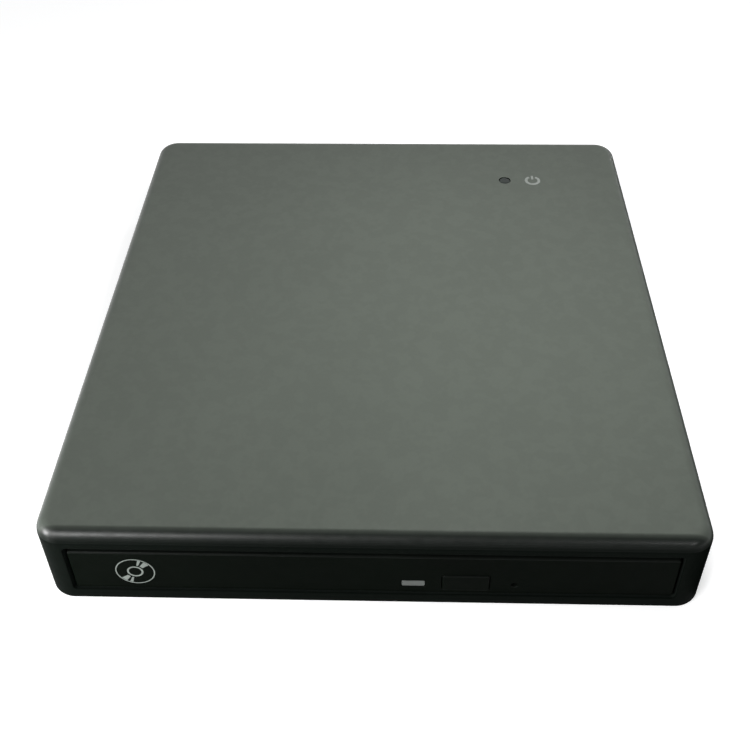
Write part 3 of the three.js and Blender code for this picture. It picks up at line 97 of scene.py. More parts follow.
USB_X, USB_Z = 10.0, 8.15
POWER_X, POWER_Z = -18.0, 9.7
FOOT_X, FOOT_Y, FOOT_RADIUS, FOOT_HEIGHT, FOOT_ROLL = 55.5, 61.25, 5.0, 1.6, 0.5
SCREW_X, SCREW_FRONT_Y, SCREW_REAR_Y = 66.9, -64.25, 68.25
SPINDLE_Y = -10.3
HUB_TOP = DRIVE + 10.8

# The traverse unit's own frame: U runs out from the spindle along the sled's way, and levels start at the
# drive's base.
SLED_TURN = math.radians(-132)
DECK_TOP = 6.8
LENS_U = 22.0

# Least radii: of a point on an axis, and of a corner that its inset would take away.
POINT, LEAST_CORNER = 0.001, 0.01


# Camera
def add_camera():
    data = bpy.data.cameras.new("camera")
    data.sensor_width = 36.0
    data.lens = 50.415
    data.shift_x = 0.00178
    data.shift_y = -0.06956
    data.clip_start, data.clip_end = 0.01, 20.0
    camera = bpy.data.objects.new("camera", data)
    bpy.context.scene.collection.objects.link(camera)
    right = Vector((0.99957197, 0.02685292, -0.01161033))
    up = Vector((-0.0089055, 0.6573143, 0.75356393))
    back = Vector((0.02786703, -0.75313799, 0.65727209))
    turn = Matrix((right, up, back)).transposed()
    camera.matrix_world = Matrix.Translation((0.00604072, -0.20849694, 0.19588208)) @ turn.to_4x4()
    bpy.context.scene.camera = camera


# Meshes
def rounded(width, height, radius, cx=0.0, cy=0.0, steps=10):
    """The outline of a rounded rectangle, anticlockwise."""
    points = []
    for quarter, (sx, sy) in enumerate(((1, 1), (-1, 1), (-1, -1), (1, -1))):
        for step in range(steps + 1):
            angle = math.pi / 2 * (quarter + step / steps)
            x = cx + sx * (width / 2 - radius) + radius * math.cos(angle)
            y = cy + sy * (height / 2 - radius) + radius * math.sin(angle)
            points.append((x, y))
    return points


def circle(radius, cx=0.0, cy=0.0, sides=48):
    turns = [2 * math.pi * i / sides for i in range(sides)]
    return [(cx + radius * math.cos(a), cy + radius * math.sin(a)) for a in turns]


def on_z(points, level):
    return [(x, y, level) for x, y in points]


def on_y(points, level):
    """Points given as x and z, on the plane y = level."""
    return [(x, level, z) for x, z in points]


def new_object(name, verts, faces):
    mesh = bpy.data.meshes.new(name)
    mesh.from_pydata([Vector(v) * MM for v in verts], [], faces)
    bm = bmesh.new()
    bm.from_mesh(mesh)
    bmesh.ops.recalc_face_normals(bm, faces=bm.faces)
    bm.to_mesh(mesh)
    bm.free()
    obj = bpy.data.objects.new(name, mesh)
    bpy.context.scene.collection.objects.link(obj)
    return obj


def loft(name, rings, closed=False):
    """A skin through rings of equally many points, capped at both ends or else closed upon itself."""
    count = len(rings[0])
    verts = [p for ring in rings for p in ring]
    faces = []
    spans = len(rings) if closed else len(rings) - 1
    for level in range(spans):
        a, b = level * count, (level + 1) % len(rings) * count
        for i in range(count):
            j = (i + 1) % count
            faces.append((a + i, a + j, b + j, b + i))
    if not closed:
        faces.append(tuple(reversed(range(count))))
        faces.append(tuple(range((len(rings) - 1) * count, len(rings) * count)))
    return new_object(name, verts, faces)


def rolled(start, end, start_roll, end_roll, steps):
    """Pairs of inset and level for a solid with rounded edges at both ends."""
    turns = [math.pi / 2 * i / steps for i in range(steps + 1)]
    levels = [(start_roll * (1 - math.sin(a)), start + start_roll * (1 - math.cos(a))) for a in turns]
    levels += [(end_roll * (1 - math.cos(a)), end - end_roll * (1 - math.sin(a))) for a in turns]
    return levels


def upright(name, width, depth, radius, bottom, top, low_roll, high_roll, cx=0.0, cy=0.0, steps=10):
    """A rounded slab lying flat, from bottom to top."""
    rings = [on_z(rounded(width - 2 * i, depth - 2 * i, max(radius - i, LEAST_CORNER), cx, cy, steps), z)
             for i, z in rolled(bottom, top, low_roll, high_roll, steps)]
    return loft(name, rings)


def panel(name, width, height, radius, cx, cz, front, back, front_roll):
    """A rounded slab on edge, whose face looks along -Y."""
    back_roll, steps = 0.02, 8
    rings = [on_y(rounded(width - 2 * i, height - 2 * i, max(radius - i, LEAST_CORNER), cx, cz, steps), y)
             for i, y in rolled(front, back, front_roll, back_roll, steps)]
    return loft(name, rings)


def flare(outline, axis, face, inward, through, roll):
    """A cutter through a wall, widened at its face so that the hole's edge is rounded.

    outline takes a growth and gives points; inward is the sign of the way into the wall."""
    steps = 6
    rings = [axis(outline(roll), face - inward)]
    for step in range(steps + 1):
        angle = math.pi / 2 * step / steps
        growth, level = roll * (1 - math.sin(angle)), face + inward * roll * (1 - math.cos(angle))
        rings.append(axis(outline(growth), level))
    rings.append(axis(outline(0.0), face + inward * through))
    return loft("cutter", rings)


def block(name, x0, x1, y0, y1, z0, z1):
    ring = [(x0, y0), (x1, y0), (x1, y1), (x0, y1)]
    return loft(name, [on_z(ring, z0), on_z(ring, z1)])


def lathe(name, profile, cx=0.0, cy=0.0, sides=96, closed=False):
    """A body of revolution about a vertical axis, from radius and height pairs."""
    rings = [on_z(circle(max(r, POINT), cx, cy, sides), z) for r, z in profile]
    return loft(name, rings, closed=closed)


def cross_slot(x, y, reach, half, bottom, top):
    """The two cutters of a screw's cross slot."""
    return [block("cutter", x - reach, x + reach, y - half, y + half, bottom, top),
            block("cutter", x - half, x + half, y - reach, y + reach, bottom, top)]


def settle(obj):
    """Puts the modifiers' result in place of the object's own mesh."""
    evaluated = obj.evaluated_get(bpy.context.evaluated_depsgraph_get())
    mesh = bpy.data.meshes.new_from_object(evaluated)
    obj.modifiers.clear()
    obj.data = mesh


def combine(obj, others, operation):
    for other in others:
        change = obj.modifiers.new(operation, "BOOLEAN")
        change.operation = operation
        change.solver = "EXACT"
        change.object = other
    bpy.context.view_layer.update()
    settle(obj)
    for other in others:
        bpy.data.objects.remove(other)
    return obj


def carve(obj, *cutters):
    return combine(obj, cutters, "DIFFERENCE")


def gather(obj, *others):
    """Adds the other objects' faces to obj, as they are."""
    bm = bmesh.new()
    bm.from_mesh(obj.data)
    for other in others:
        bm.from_mesh(other.data)
        bpy.data.objects.remove(other)
    bm.to_mesh(obj.data)
    bm.free()
    return obj


def smooth(obj, angle):
    """Smooth shading, with edges sharper than the angle, in degrees, kept."""
    obj.data.shade_smooth()
    obj.data.set_sharp_from_angle(angle=math.radians(angle))
    weighted = obj.modifiers.new("weighted", "WEIGHTED_NORMAL")
    weighted.keep_sharp = True


def turned_out(obj):
    """Moves a mesh from the traverse unit's turned frame to the drive's."""
    turn = Matrix.Rotation(SLED_TURN, 4, "Z")
    obj.data.transform(Matrix.Translation((0, SPINDLE_Y * MM, DRIVE * MM)) @ turn)
    return obj


def place(obj, body, material, replaced=(), angle=35.0):
    """Gives a finished mesh its shading, its body and, unless it has some already, its material."""
    smooth(obj, angle)
    if not obj.data.materials:
        obj.data.materials.append(material)
    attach(obj, body)
    if replaced:
        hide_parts(*replaced)


def dress(node, material, bevel):
    """A copy of a CAD node with softened edges, standing for it."""
    same_point, flat_angle, edge_angle = 1e-6, math.radians(0.5), math.radians(40)
    mesh = cad[node].data.copy()
    mesh.materials.clear()
    for extra in [a.name for a in mesh.attributes if a.name == "custom_normal"]:
        mesh.attributes.remove(mesh.attributes[extra])
    bm = bmesh.new()
    bm.from_mesh(mesh)
    bmesh.ops.remove_doubles(bm, verts=bm.verts, dist=same_point)
    bmesh.ops.dissolve_limit(bm, angle_limit=flat_angle, verts=bm.verts, edges=bm.edges)
    bm.to_mesh(mesh)
    bm.free()
    obj = bpy.data.objects.new(node + "_skin", mesh)
    bpy.context.scene.collection.objects.link(obj)
    if bevel:
        soften = obj.modifiers.new("edges", "BEVEL")
        soften.width = bevel * MM
        soften.segments = 2
        soften.limit_method = "ANGLE"
        soften.angle_limit = edge_angle
        soften.use_clamp_overlap = True
    place(obj, cad[node]["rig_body"], material, [node])


# Materials
def add_ramp(tree, value, stops):
    """A colour ramp; a stop's colour is red, green and blue, or one level of grey."""
    made = tree.nodes.new("ShaderNodeValToRGB")
    ramp = made.color_ramp
    while len(ramp.elements) < len(stops):
        ramp.elements.new(0.5)
    for element, (position, colour) in zip(ramp.elements, stops):
        element.position = position
        element.color = (*colour, 1.0) if isinstance(colour, tuple) else (colour, colour, colour, 1.0)
    tree.links.new(value, made.inputs["Fac"])
    return made.outputs["Color"]


def add_mix(tree, factor, a, b, mode="MIX"):
    """Mixes two colours; each value is a socket, or else a number or red, green and blue."""
    made = tree.nodes.new("ShaderNodeMix")
    made.data_type = "RGBA"
    made.blend_type = mode
    for socket, value in ((made.inputs[0], factor), (made.inputs[6], a), (made.inputs[7], b)):
        if isinstance(value, (int, float)):
            socket.default_value = value
        elif isinstance(value, tuple):
            socket.default_value = (*value, 1.0)
        else:
            tree.links.new(value, socket)
    return made.outputs[2]


def seen_rays(tree):
    """One for the rays that the camera, gloss and glass send, and zero for the rest."""
    path = tree.nodes.new("ShaderNodeLightPath")
    seen = path.outputs["Is Camera Ray"]
    for kind in ("Is Glossy Ray", "Is Transmission Ray"):
        total = tree.nodes.new("ShaderNodeMath")
        total.operation = "MAXIMUM"
        tree.links.new(seen, total.inputs[0])
        tree.links.new(path.outputs[kind], total.inputs[1])
        seen = total.outputs[0]
    return seen


class Look:
    """A node material with a Principled shader and a few shorthands."""

    def __init__(self, name, roughness, metallic=0.0, specular=0.5):
        self.material = bpy.data.materials.new(name)
        self.material.use_nodes = True
        self.tree = self.material.node_tree
        self.shader = next(n for n in self.tree.nodes if n.type == "BSDF_PRINCIPLED")
        self.shader.inputs["Roughness"].default_value = roughness
        self.shader.inputs["Metallic"].default_value = metallic
        self.shader.inputs["Specular IOR Level"].default_value = specular
        self.coords = self.tree.nodes.new("ShaderNodeTexCoord")

    def node(self, kind, **values):
        made = self.tree.nodes.new(kind)
        for key, value in values.items():
            setattr(made, key, value)
        return made

    def link(self, source, target):
        self.tree.links.new(source, target)

    def math(self, operation, a, b):
        made = self.node("ShaderNodeMath", operation=operation)
        for socket, value in zip(made.inputs, (a, b)):
            if isinstance(value, (int, float)):
                socket.default_value = value
            else:
                self.link(value, socket)
        return made.outputs[0]

    def split(self, vector):
        made = self.node("ShaderNodeSeparateXYZ")
        self.link(vector, made.inputs["Vector"])
        return made.outputs

    def noise(self, scale, detail=3.0, stretch=(1, 1, 1)):
        mapping = self.node("ShaderNodeMapping")
        mapping.inputs["Scale"].default_value = stretch
        self.link(self.coords.outputs["Object"], mapping.inputs["Vector"])
        made = self.node("ShaderNodeTexNoise")
        made.inputs["Scale"].default_value = scale
        made.inputs["Detail"].default_value = detail
        self.link(mapping.outputs["Vector"], made.inputs["Vector"])
        return made.outputs["Fac"]

    def ramp(self, value, stops):
        return add_ramp(self.tree, value, stops)

    def mix(self, factor, a, b, mode="MIX"):
        return add_mix(self.tree, factor, a, b, mode)

    def colour(self, source):
        self.link(source, self.shader.inputs["Base Color"])

    def roughness(self, value, low, high):
        """Roughness that follows a value's middle range from low to high."""
        self.link(self.ramp(value, [(0.3, low), (0.7, high)]), self.shader.inputs["Roughness"])

    def bump(self, height, depth):
        """Bump of a depth in millimetres."""
        made = self.node("ShaderNodeBump")
        made.inputs["Distance"].default_value = depth * MM
        made.inputs["Strength"].default_value = 1.0
        self.link(height, made.inputs["Height"])
        self.link(made.outputs["Normal"], self.shader.inputs["Normal"])


def plastic(name, colour, roughness=0.45, specular=0.3, grain=1800.0, depth=0.012, spread=0.12):
    """Moulded plastic: a fine eroded grain, and slight cloudiness in its colour."""
    look = Look(name, roughness, 0.0, specular)
    cloud = look.noise(60.0, 2.0)
    dark = tuple(c * (1 - spread) for c in colour)
    light = tuple(c * (1 + spread) for c in colour)
    look.colour(look.ramp(cloud, [(0.35, dark), (0.65, light)]))
    look.roughness(look.noise(grain / 4), max(roughness - 0.05, 0.02), roughness + 0.06)
    look.bump(look.noise(grain, 2.0), depth)
    return look.material


def case_plastic(name, specular, rough, with_painted_light=True):
    """The enclosure's satin plastic, nearly black on what faces sideways, with painted light: a pale tone on
    what faces up stands in for the light falling on the top.

    Painted shade darkens the front roll sooner than the rolls at the sides and the back."""
    look = Look(name, rough, 0.0, specular)
    # The pale top tone is painted light; the dark tone is the plastic's own near black.
    dark, painted_top_light = (0.0027, 0.0040, 0.0031), (0.0945, 0.1075, 0.0910)
    if with_painted_light:
        normal = look.split(look.coords.outputs["Normal"])
        spot = look.split(look.coords.outputs["Object"])
        depth = look.math("DIVIDE", look.math("ADD", spot[1], CASE_Y * MM), TOP_ROLL * MM)
        # Painted shade: by depth from the front face, the front roll gets a dark band under the pale top.
        front = look.ramp(depth, [
            (0.0, dark),
            (0.20, (0.0065, 0.0085, 0.0070)),
            (0.56, (0.0130, 0.0160, 0.0135)),
            (0.80, (0.044, 0.051, 0.043)),
            (0.955, painted_top_light),
        ])
        # Painted light: the tone grows from nearly black to pale as the face turns up, standing in for the
        # light from above.
        side = look.ramp(normal[2], [
            (0.15, dark),
            (0.38, (0.034, 0.039, 0.033)),
            (0.62, (0.064, 0.074, 0.063)),
            (0.88, (0.078, 0.090, 0.076)),
            (0.999, painted_top_light),
        ])
        tone = look.mix(1.0, front, side, "DARKEN")
    else:
        tone = dark
    cloud = look.ramp(look.noise(22.0, 2.0), [(0.3, 0.94), (0.7, 1.0)])
    mottle = look.ramp(look.noise(330.0, 1.5), [(0.46, 0.945), (0.56, 1.0)])
    grain = look.ramp(look.noise(1100.0, 2.0), [(0.3, 0.96), (0.7, 1.0)])
    for layer in (cloud, mottle, grain):
        tone = look.mix(1.0, tone, layer, "MULTIPLY")
    look.colour(tone)
    look.roughness(look.noise(700.0), rough - 0.04, rough + 0.05)
    look.bump(look.noise(1400.0, 1.0), 0.008)
    return look.material


def metal(name, colour, roughness, stretch, grain=900.0, depth=0.004):
    """Rolled or turned metal with fine marks along one direction."""
    look = Look(name, roughness, 1.0)
    marks = look.noise(grain, 4.0, stretch)
    dark = tuple(c * 0.82 for c in colour)
    look.colour(look.ramp(marks, [(0.3, dark), (0.7, colour)]))
    look.roughness(marks, roughness - 0.06, roughness + 0.08)
    look.bump(marks, depth)
    return look.material


def galvanised(name, colour, roughness):
    """Zinc-coated sheet with its fine, faint crystal pattern."""
    look = Look(name, roughness, 1.0)
    cells = look.node("ShaderNodeTexVoronoi")
    cells.inputs["Scale"].default_value = 1300.0
    look.link(look.coords.outputs["Object"], cells.inputs["Vector"])
    shade = look.node("ShaderNodeRGBToBW")
    look.link(cells.outputs["Color"], shade.inputs["Color"])
    dark = tuple(c * 0.93 for c in colour)
    look.colour(look.ramp(shade.outputs["Val"], [(0.2, dark), (0.8, colour)]))
    look.roughness(shade.outputs["Val"], roughness - 0.02, roughness + 0.03)
    look.bump(look.noise(1500.0, 2.0), 0.003)
    return look.material


def circuit(name):
    """A green board: solder mask over traces, with fine plated holes."""
    look = Look(name, 0.35)
    traces = look.node("ShaderNodeTexBrick")
    traces.inputs["Scale"].default_value = 330.0
    traces.inputs["Mortar Size"].default_value = 0.055
    traces.inputs["Color1"].default_value = (0.010, 0.085, 0.032, 1)
    traces.inputs["Color2"].default_value = (0.013, 0.105, 0.040, 1)
    traces.inputs["Mortar"].default_value = (0.035, 0.190, 0.075, 1)
    look.link(look.coords.outputs["Object"], traces.inputs["Vector"])
    dots = look.node("ShaderNodeTexVoronoi")
    dots.inputs["Scale"].default_value = 300.0
    look.link(look.coords.outputs["Object"], dots.inputs["Vector"])
    hole = look.ramp(dots.outputs["Distance"], [(0.10, 1.0), (0.13, 0.0)])
    look.colour(look.mix(hole, traces.outputs["Color"], (0.42, 0.36, 0.20)))
    look.bump(traces.outputs["Fac"], 0.01)
    return look.material


def film(name):
    """Amber film over fine copper lines that run along it."""
    look = Look(name, 0.28)
    lines = look.node("ShaderNodeTexWave", bands_direction="X")
    lines.inputs["Scale"].default_value = 314.0
    look.link(look.coords.outputs["Object"], lines.inputs["Vector"])
    look.colour(look.ramp(lines.outputs["Fac"], [(0.35, (0.23, 0.075, 0.012)), (0.6, (0.46, 0.19, 0.04))]))
    look.roughness(look.noise(900.0), 0.24, 0.36)
    look.bump(lines.outputs["Fac"], 0.006)
    return look.material


def clear(name, colour, roughness, transmission, ior=1.49):
    """Moulded clear plastic or glass, with slight cloudiness in its colour."""
    look = Look(name, roughness)
    look.shader.inputs["Transmission Weight"].default_value = transmission
    look.shader.inputs["IOR"].default_value = ior
    cloud = look.noise(300.0, 2.0)
    dark = tuple(c * 0.9 for c in colour)
    look.colour(look.ramp(cloud, [(0.3, dark), (0.7, colour)]))
    return look.material


def print_ink(name, colour):
    """Pad-printed ink with slightly uneven cover."""
    look = Look(name, 0.5, 0.0, 0.2)
    cover = look.noise(1500.0, 3.0)
    look.colour(look.ramp(cover, [(0.3, tuple(c * 0.8 for c in colour)), (0.7, colour)]))
    look.bump(cover, 0.004)
    return look.material


# Bands of the cover from its top to its sides: the least upward share of a face's normal, and the plastic;
# all but the side band carry painted light and shade.
case_bands = [
    (0.56, case_plastic("case_plastic_top", 0.34, 0.35)),
    (0.46, case_plastic("case_plastic_roll_1", 0.17, 0.36)),
    (0.36, case_plastic("case_plastic_roll_2", 0.07, 0.36)),
    (0.20, case_plastic("case_plastic_roll_3", 0.03, 0.38)),
    (-2.0, case_plastic("case_plastic_side", 0.01, 0.60, with_painted_light=False)),
]
# Painted light: the mouth's walls are paler than the case's near black, to lift the shade in the gap round
# the bezel.
mouth_painted_light = plastic("case_plastic_mouth", (0.009, 0.0115, 0.010), 0.5, 0.02)
base_plastic = plastic("base_plastic", (0.0085, 0.0100, 0.0090), 0.5, 0.12)
bezel_plastic = plastic("bezel_plastic", (0.0010, 0.0020, 0.0011), 0.42, 0.01)
# Painted highlight: paler than the bezel, for the faces that look up, where light falls on the edges.
bezel_painted_highlight = plastic("bezel_edge_plastic", (0.0048, 0.0060, 0.0050), 0.36, 0.05)
button_plastic = plastic("button_plastic", (0.0012, 0.0022, 0.0013), 0.40, 0.012)
tray_plastic = plastic("tray_plastic", (0.020, 0.022, 0.022), 0.42, 0.35, 1500.0, 0.015)
black_plastic = plastic("connector_plastic", (0.015, 0.015, 0.016), 0.42, 0.4, 1500.0, 0.008)
white_plastic = plastic("acetal_plastic", (0.62, 0.60, 0.55), 0.38, 0.5, 1200.0, 0.006, 0.05)
rubber = plastic("rubber", (0.016, 0.016, 0.017), 0.85, 0.25, 1100.0, 0.03)
chip_plastic = plastic("chip_plastic", (0.012, 0.012, 0.013), 0.55, 0.4, 2500.0, 0.01)
sheet_steel = galvanised("sheet_steel", (0.62, 0.63, 0.64), 0.36)
bright_steel = metal("bright_steel", (0.74, 0.75, 0.76), 0.2, (1, 0.06, 1))
turned_steel = metal("turned_steel", (0.70, 0.71, 0.72), 0.24, (0.06, 1, 1))
nickel = metal("nickel", (0.72, 0.70, 0.66), 0.28, (0.1, 1, 1))
copper = metal("copper", (0.80, 0.36, 0.18), 0.32, (1, 1, 1), 1600.0, 0.03)
board_green = circuit("circuit_board")
ceramic = plastic("ceramic", (0.16, 0.105, 0.06), 0.45, 0.5, 1800.0, 0.004, 0.4)
flex_film = film("flex_film")
pale_window = clear("window_plastic", (0.079, 0.089, 0.081), 0.35, 0.15)
smoked_lens = clear("smoked_plastic", (0.028, 0.034, 0.031), 0.34, 0.1)
lens_glass = clear("lens_glass", (0.72, 0.78, 0.98), 0.03, 0.85, 1.6)
symbol_ink = print_ink("symbol_ink", (0.27, 0.29, 0.27))
mark_ink = print_ink("mark_ink", (0.17, 0.19, 0.175))


# Enclosure
def growing(width, height, radius, cx, cz):
    """The outline of a rounded hole, as a function of its growth."""
    return lambda grow: rounded(width + 2 * grow, height + 2 * grow, radius + grow, cx, cz, 8)


def growing_circle(radius, cx, cz, sides=48):
    return lambda grow: circle(radius + grow, cx, cz, sides)


def build_cover():
    cover = upright("top_cover_skin", 2 * CASE_X, 2 * CASE_Y, CORNER, CASE_BOTTOM, CASE_TOP,
                    BOTTOM_ROLL, TOP_ROLL, steps=16)
    cavity = upright("cutter", 2 * (CASE_X - CASE_WALL), 2 * (CASE_Y - CASE_WALL), CORNER - CASE_WALL,
                     CASE_BOTTOM - 1, CASE_TOP - CASE_ROOF, 0.01, 0.5)
    through = CASE_WALL + 1
    mouth = flare(growing(2 * MOUTH_X, MOUTH_HIGH - MOUTH_LOW, MOUTH_CORNER, 0, (MOUTH_LOW + MOUTH_HIGH) / 2),
                  on_y, -CASE_Y, 1, through, HOLE_EDGE)
    usb = flare(growing(8.7, 4.9, 1.0, USB_X, USB_Z), on_y, CASE_Y, -1, through, HOLE_EDGE)
    power = flare(growing_circle(3.9, POWER_X, POWER_Z), on_y, CASE_Y, -1, through, HOLE_EDGE)
    light = flare(growing_circle(1.7, *LIGHT), on_z, CASE_TOP, -1, CASE_ROOF + 1, 0.15)
    carve(cover, cavity, mouth, usb, power, light)
    gather(cover, *cover_ribs())
    paint_cover(cover)
    place(cover, "case", None, ["top_cover"])


def cover_ribs():
    """Ribs under the roof and on the side walls, and the case screws' bosses, sunk into the roof."""
    half, top = 0.6, 21.1
    roof_rib_front, roof_rib_rear, roof_rib_low = -68.55, 48.15, 17.6
    side_rib_inner, side_rib_outer, side_rib_low = 64.3, 69.1, 3.1
    boss = [(1.3, 2.8), (2.2, 2.8), (2.2, top), (1.3, top)]
    ribs = [block("rib", x - half, x + half, roof_rib_front, roof_rib_rear, roof_rib_low, top)
            for x in (-40, 0, 40)]
    for side in (-1, 1):
        x0, x1 = sorted((side * side_rib_inner, side * side_rib_outer))
        for y in (-29.85, 5.15, 40.15):
            ribs.append(block("rib", x0, x1, y - half, y + half, side_rib_low, top))
        for y in (SCREW_FRONT_Y, SCREW_REAR_Y):
            ribs.append(lathe("boss", boss, side * SCREW_X, y, 32, closed=True))
    return ribs


def paint_cover(cover):
    """Gives each face its band of the case's plastic, and the walls of the mouth their own paler plastic,
    painted light that lifts the shade in the gap.
    """
    cover.data.materials.clear()
    for _, material in case_bands:
        cover.data.materials.append(material)
    cover.data.materials.append(mouth_painted_light)
    roll_start = (CASE_TOP - TOP_ROLL) * MM - 1e-5
    frame_back, mouth_side, mouth_top, mouth_back = (HOLE_EDGE - CASE_Y) * MM, 68 * MM, 18.5 * MM, -60 * MM
    for face in cover.data.polygons:
        tilt = face.normal.z if face.center.z > roll_start else -1.0
        face.material_index = next(i for i, (limit, _) in enumerate(case_bands) if tilt > limit)
        if face.center.y < frame_back or abs(face.center.x) > mouth_side:
            continue
        if abs(face.normal.y) < 0.3 and face.center.z < mouth_top and face.center.y < mouth_back:
            face.material_index = len(case_bands)


def build_feet_and_screws():
    for end, sy, screw_y in (("front", -1, SCREW_FRONT_Y), ("rear", 1, SCREW_REAR_Y)):
        for side, sx in (("left", -1), ("right", 1)):
            build_foot(f"{end}_{side}", sx * FOOT_X, sy * FOOT_Y)
            build_case_screw(f"{end}_{side}", sx * SCREW_X, screw_y)


def build_foot(corner, x, y):
    flat = FOOT_RADIUS - FOOT_ROLL
    turns = [math.pi / 2 * i / 6 for i in range(7)]
    profile = [(0, 0)]
    profile += [(flat + FOOT_ROLL * math.sin(a), FOOT_ROLL - FOOT_ROLL * math.cos(a)) for a in turns]
    profile += [(FOOT_RADIUS, FOOT_HEIGHT), (0, FOOT_HEIGHT)]
    foot = lathe(f"foot_pad_{corner}", profile, x, y, 64)
    place(foot, "case", rubber, [f"foot_{corner}"])


def build_case_screw(corner, x, y):
    """A screw with its head down, a ringed thread and a blunt tip."""
    face, head_back, tip = 1.1, 2.0, 8.5
    shank, root, pitch, turns = 1.0, 0.78, 0.5, 12
    profile = [(0, face), (1.5, face), (1.75, 1.18), (1.9, 1.4), (1.9, head_back), (shank, head_back)]
    for turn in range(turns):
        z = head_back + turn * pitch
        profile += [(shank, z + 0.12), (root, z + 0.25), (shank, z + 0.42)]
    profile += [(0.5, tip), (0, tip)]
    screw = lathe(f"screw_{corner}", profile, x, y, 40)
    carve(screw, *cross_slot(x, y, 1.2, 0.3, 0.5, 1.6))
    place(screw, "case", nickel, [f"case_screw_{corner}"])


def arc_band(name, cx, cy, inner, outer, start, end, level, steps=40):
    """A flat piece of a ring, between two angles in degrees."""
    verts, faces = [], []
    for step in range(steps + 1):
        angle = math.radians(start + (end - start) * step / steps)
        for radius in (inner, outer):
            verts.append((cx + radius * math.cos(angle), cy + radius * math.sin(angle), level))
    for step in range(steps):
        a = 2 * step
        faces.append((a, a + 1, a + 3, a + 2))
    return new_object(name, verts, faces)


def build_symbol():
    """A plain standby sign, printed beside the light."""
    x, y = SYMBOL
    level = CASE_TOP + INK
    ring = arc_band("power_symbol", x, y - 0.1, 1.48, 2.28, 118, 422, level)
    bar = new_object("bar", [(x - 0.32, y + 0.5, level), (x + 0.32, y + 0.5, level),
                             (x + 0.32, y + 2.4, level), (x - 0.32, y + 2.4, level)], [(0, 1, 2, 3)])
    gather(ring, bar)
    place(ring, "case", symbol_ink)


def build_light_pipe():
    pipe = lathe("light_pipe_skin", [
        (0, 7.7), (1.4, 7.7), (1.4, 19.7), (2.4, 19.7), (2.4, 20.8), (1.4, 20.8),
        (1.4, 21.2), (1.58, 21.4), (1.58, 22.42), (1.45, 22.55), (1.15, 22.63), (0.7, 22.66), (0, 22.66),
    ], *LIGHT, sides=48)
    place(pipe, "case", smoked_lens, ["light_pipe"])


# Front
def paint_upper_highlight(obj, plain):
    """A painted highlight: a paler plastic on what faces up at the front, standing in for the light on the
    upper edges, and the plain one on the rest.
    """
    obj.data.materials.append(plain)
    obj.data.materials.append(bezel_painted_highlight)
    for face in obj.data.polygons:
        face.material_index = 1 if face.normal.z > 0.25 and face.normal.y > -0.98 else 0


def front_hole(outline, edge):
    return flare(outline, on_y, BEZEL_FRONT, 1, FRONT_HOLE_DEPTH, edge)


def build_bezel():
    bezel = panel("bezel_skin", 2 * BEZEL_X, BEZEL_HIGH - BEZEL_LOW, BEZEL_CORNER,
                  0, (BEZEL_LOW + BEZEL_HIGH) / 2, BEZEL_FRONT, BEZEL_BACK, BEZEL_EDGE)
    button = front_hole(growing(BUTTON_W + 0.24, BUTTON_H + 0.24, 0.7, BUTTON_X, BUTTON_Z), 0.1)
    window = front_hole(growing(WINDOW_W + 0.2, WINDOW_H + 0.2, 0.4, WINDOW_X, WINDOW_Z), 0.08)
    pinhole = front_hole(growing_circle(PINHOLE_RADIUS, PINHOLE_X, WINDOW_Z, 32), 0.15)
    carve(bezel, button, window, pinhole)
    shoulder = panel("shoulder", 2 * (BEZEL_X - BEZEL_CORNER), SHOULDER_HIGH - SHOULDER_LOW, 0.2,
                     0, (SHOULDER_HIGH + SHOULDER_LOW) / 2, BEZEL_BACK - SHOULDER_DEPTH, BEZEL_BACK, 0.15)
    gather(bezel, shoulder)
    paint_upper_highlight(bezel, bezel_plastic)
    place(bezel, "tray", None, ["tray_bezel"])


def build_button():
    button = panel("eject_button_skin", BUTTON_W, BUTTON_H, 0.6, BUTTON_X, BUTTON_Z, -77.1, -74.05, 0.35)
    stem = panel("stem", 2.0, 1.2, 0.2, BUTTON_X, BUTTON_Z, -74.45, -71.6, 0.1)
    gather(button, stem)
    paint_upper_highlight(button, button_plastic)
    place(button, "eject_button", None, ["eject_button"])


def build_window():
    window = panel("light_window_skin", WINDOW_W, WINDOW_H, 0.4, WINDOW_X, WINDOW_Z, -76.75, -71.85, 0.2)
    place(window, "tray", pale_window, ["light_window"])


def build_mark():
    """A plain disc sign on the bezel: a ring, its hub and two glints."""
    x, z, level = -50.2, 10.5, BEZEL_FRONT - INK
    parts = [arc_band("disc_mark", x, z, 1.35, 1.75, 0, 360, level)]
    for start in (35, 215):
        parts.append(arc_band("glint", x, z, 2.1, 3.85, start, start + 20, level, 8))
        parts.append(arc_band("glint", x, z, 2.1, 3.85, start + 30, start + 40, level, 8))
    parts.append(arc_band("rim", x, z, 3.95, 4.2, 0, 360, level, 64))
    mark = gather(*parts)
    mark.data.transform(Matrix(((1, 0, 0, 0), (0, 0, 1, 0), (0, 1, 0, 0), (0, 0, 0, 1))))
    place(mark, "tray", mark_ink)


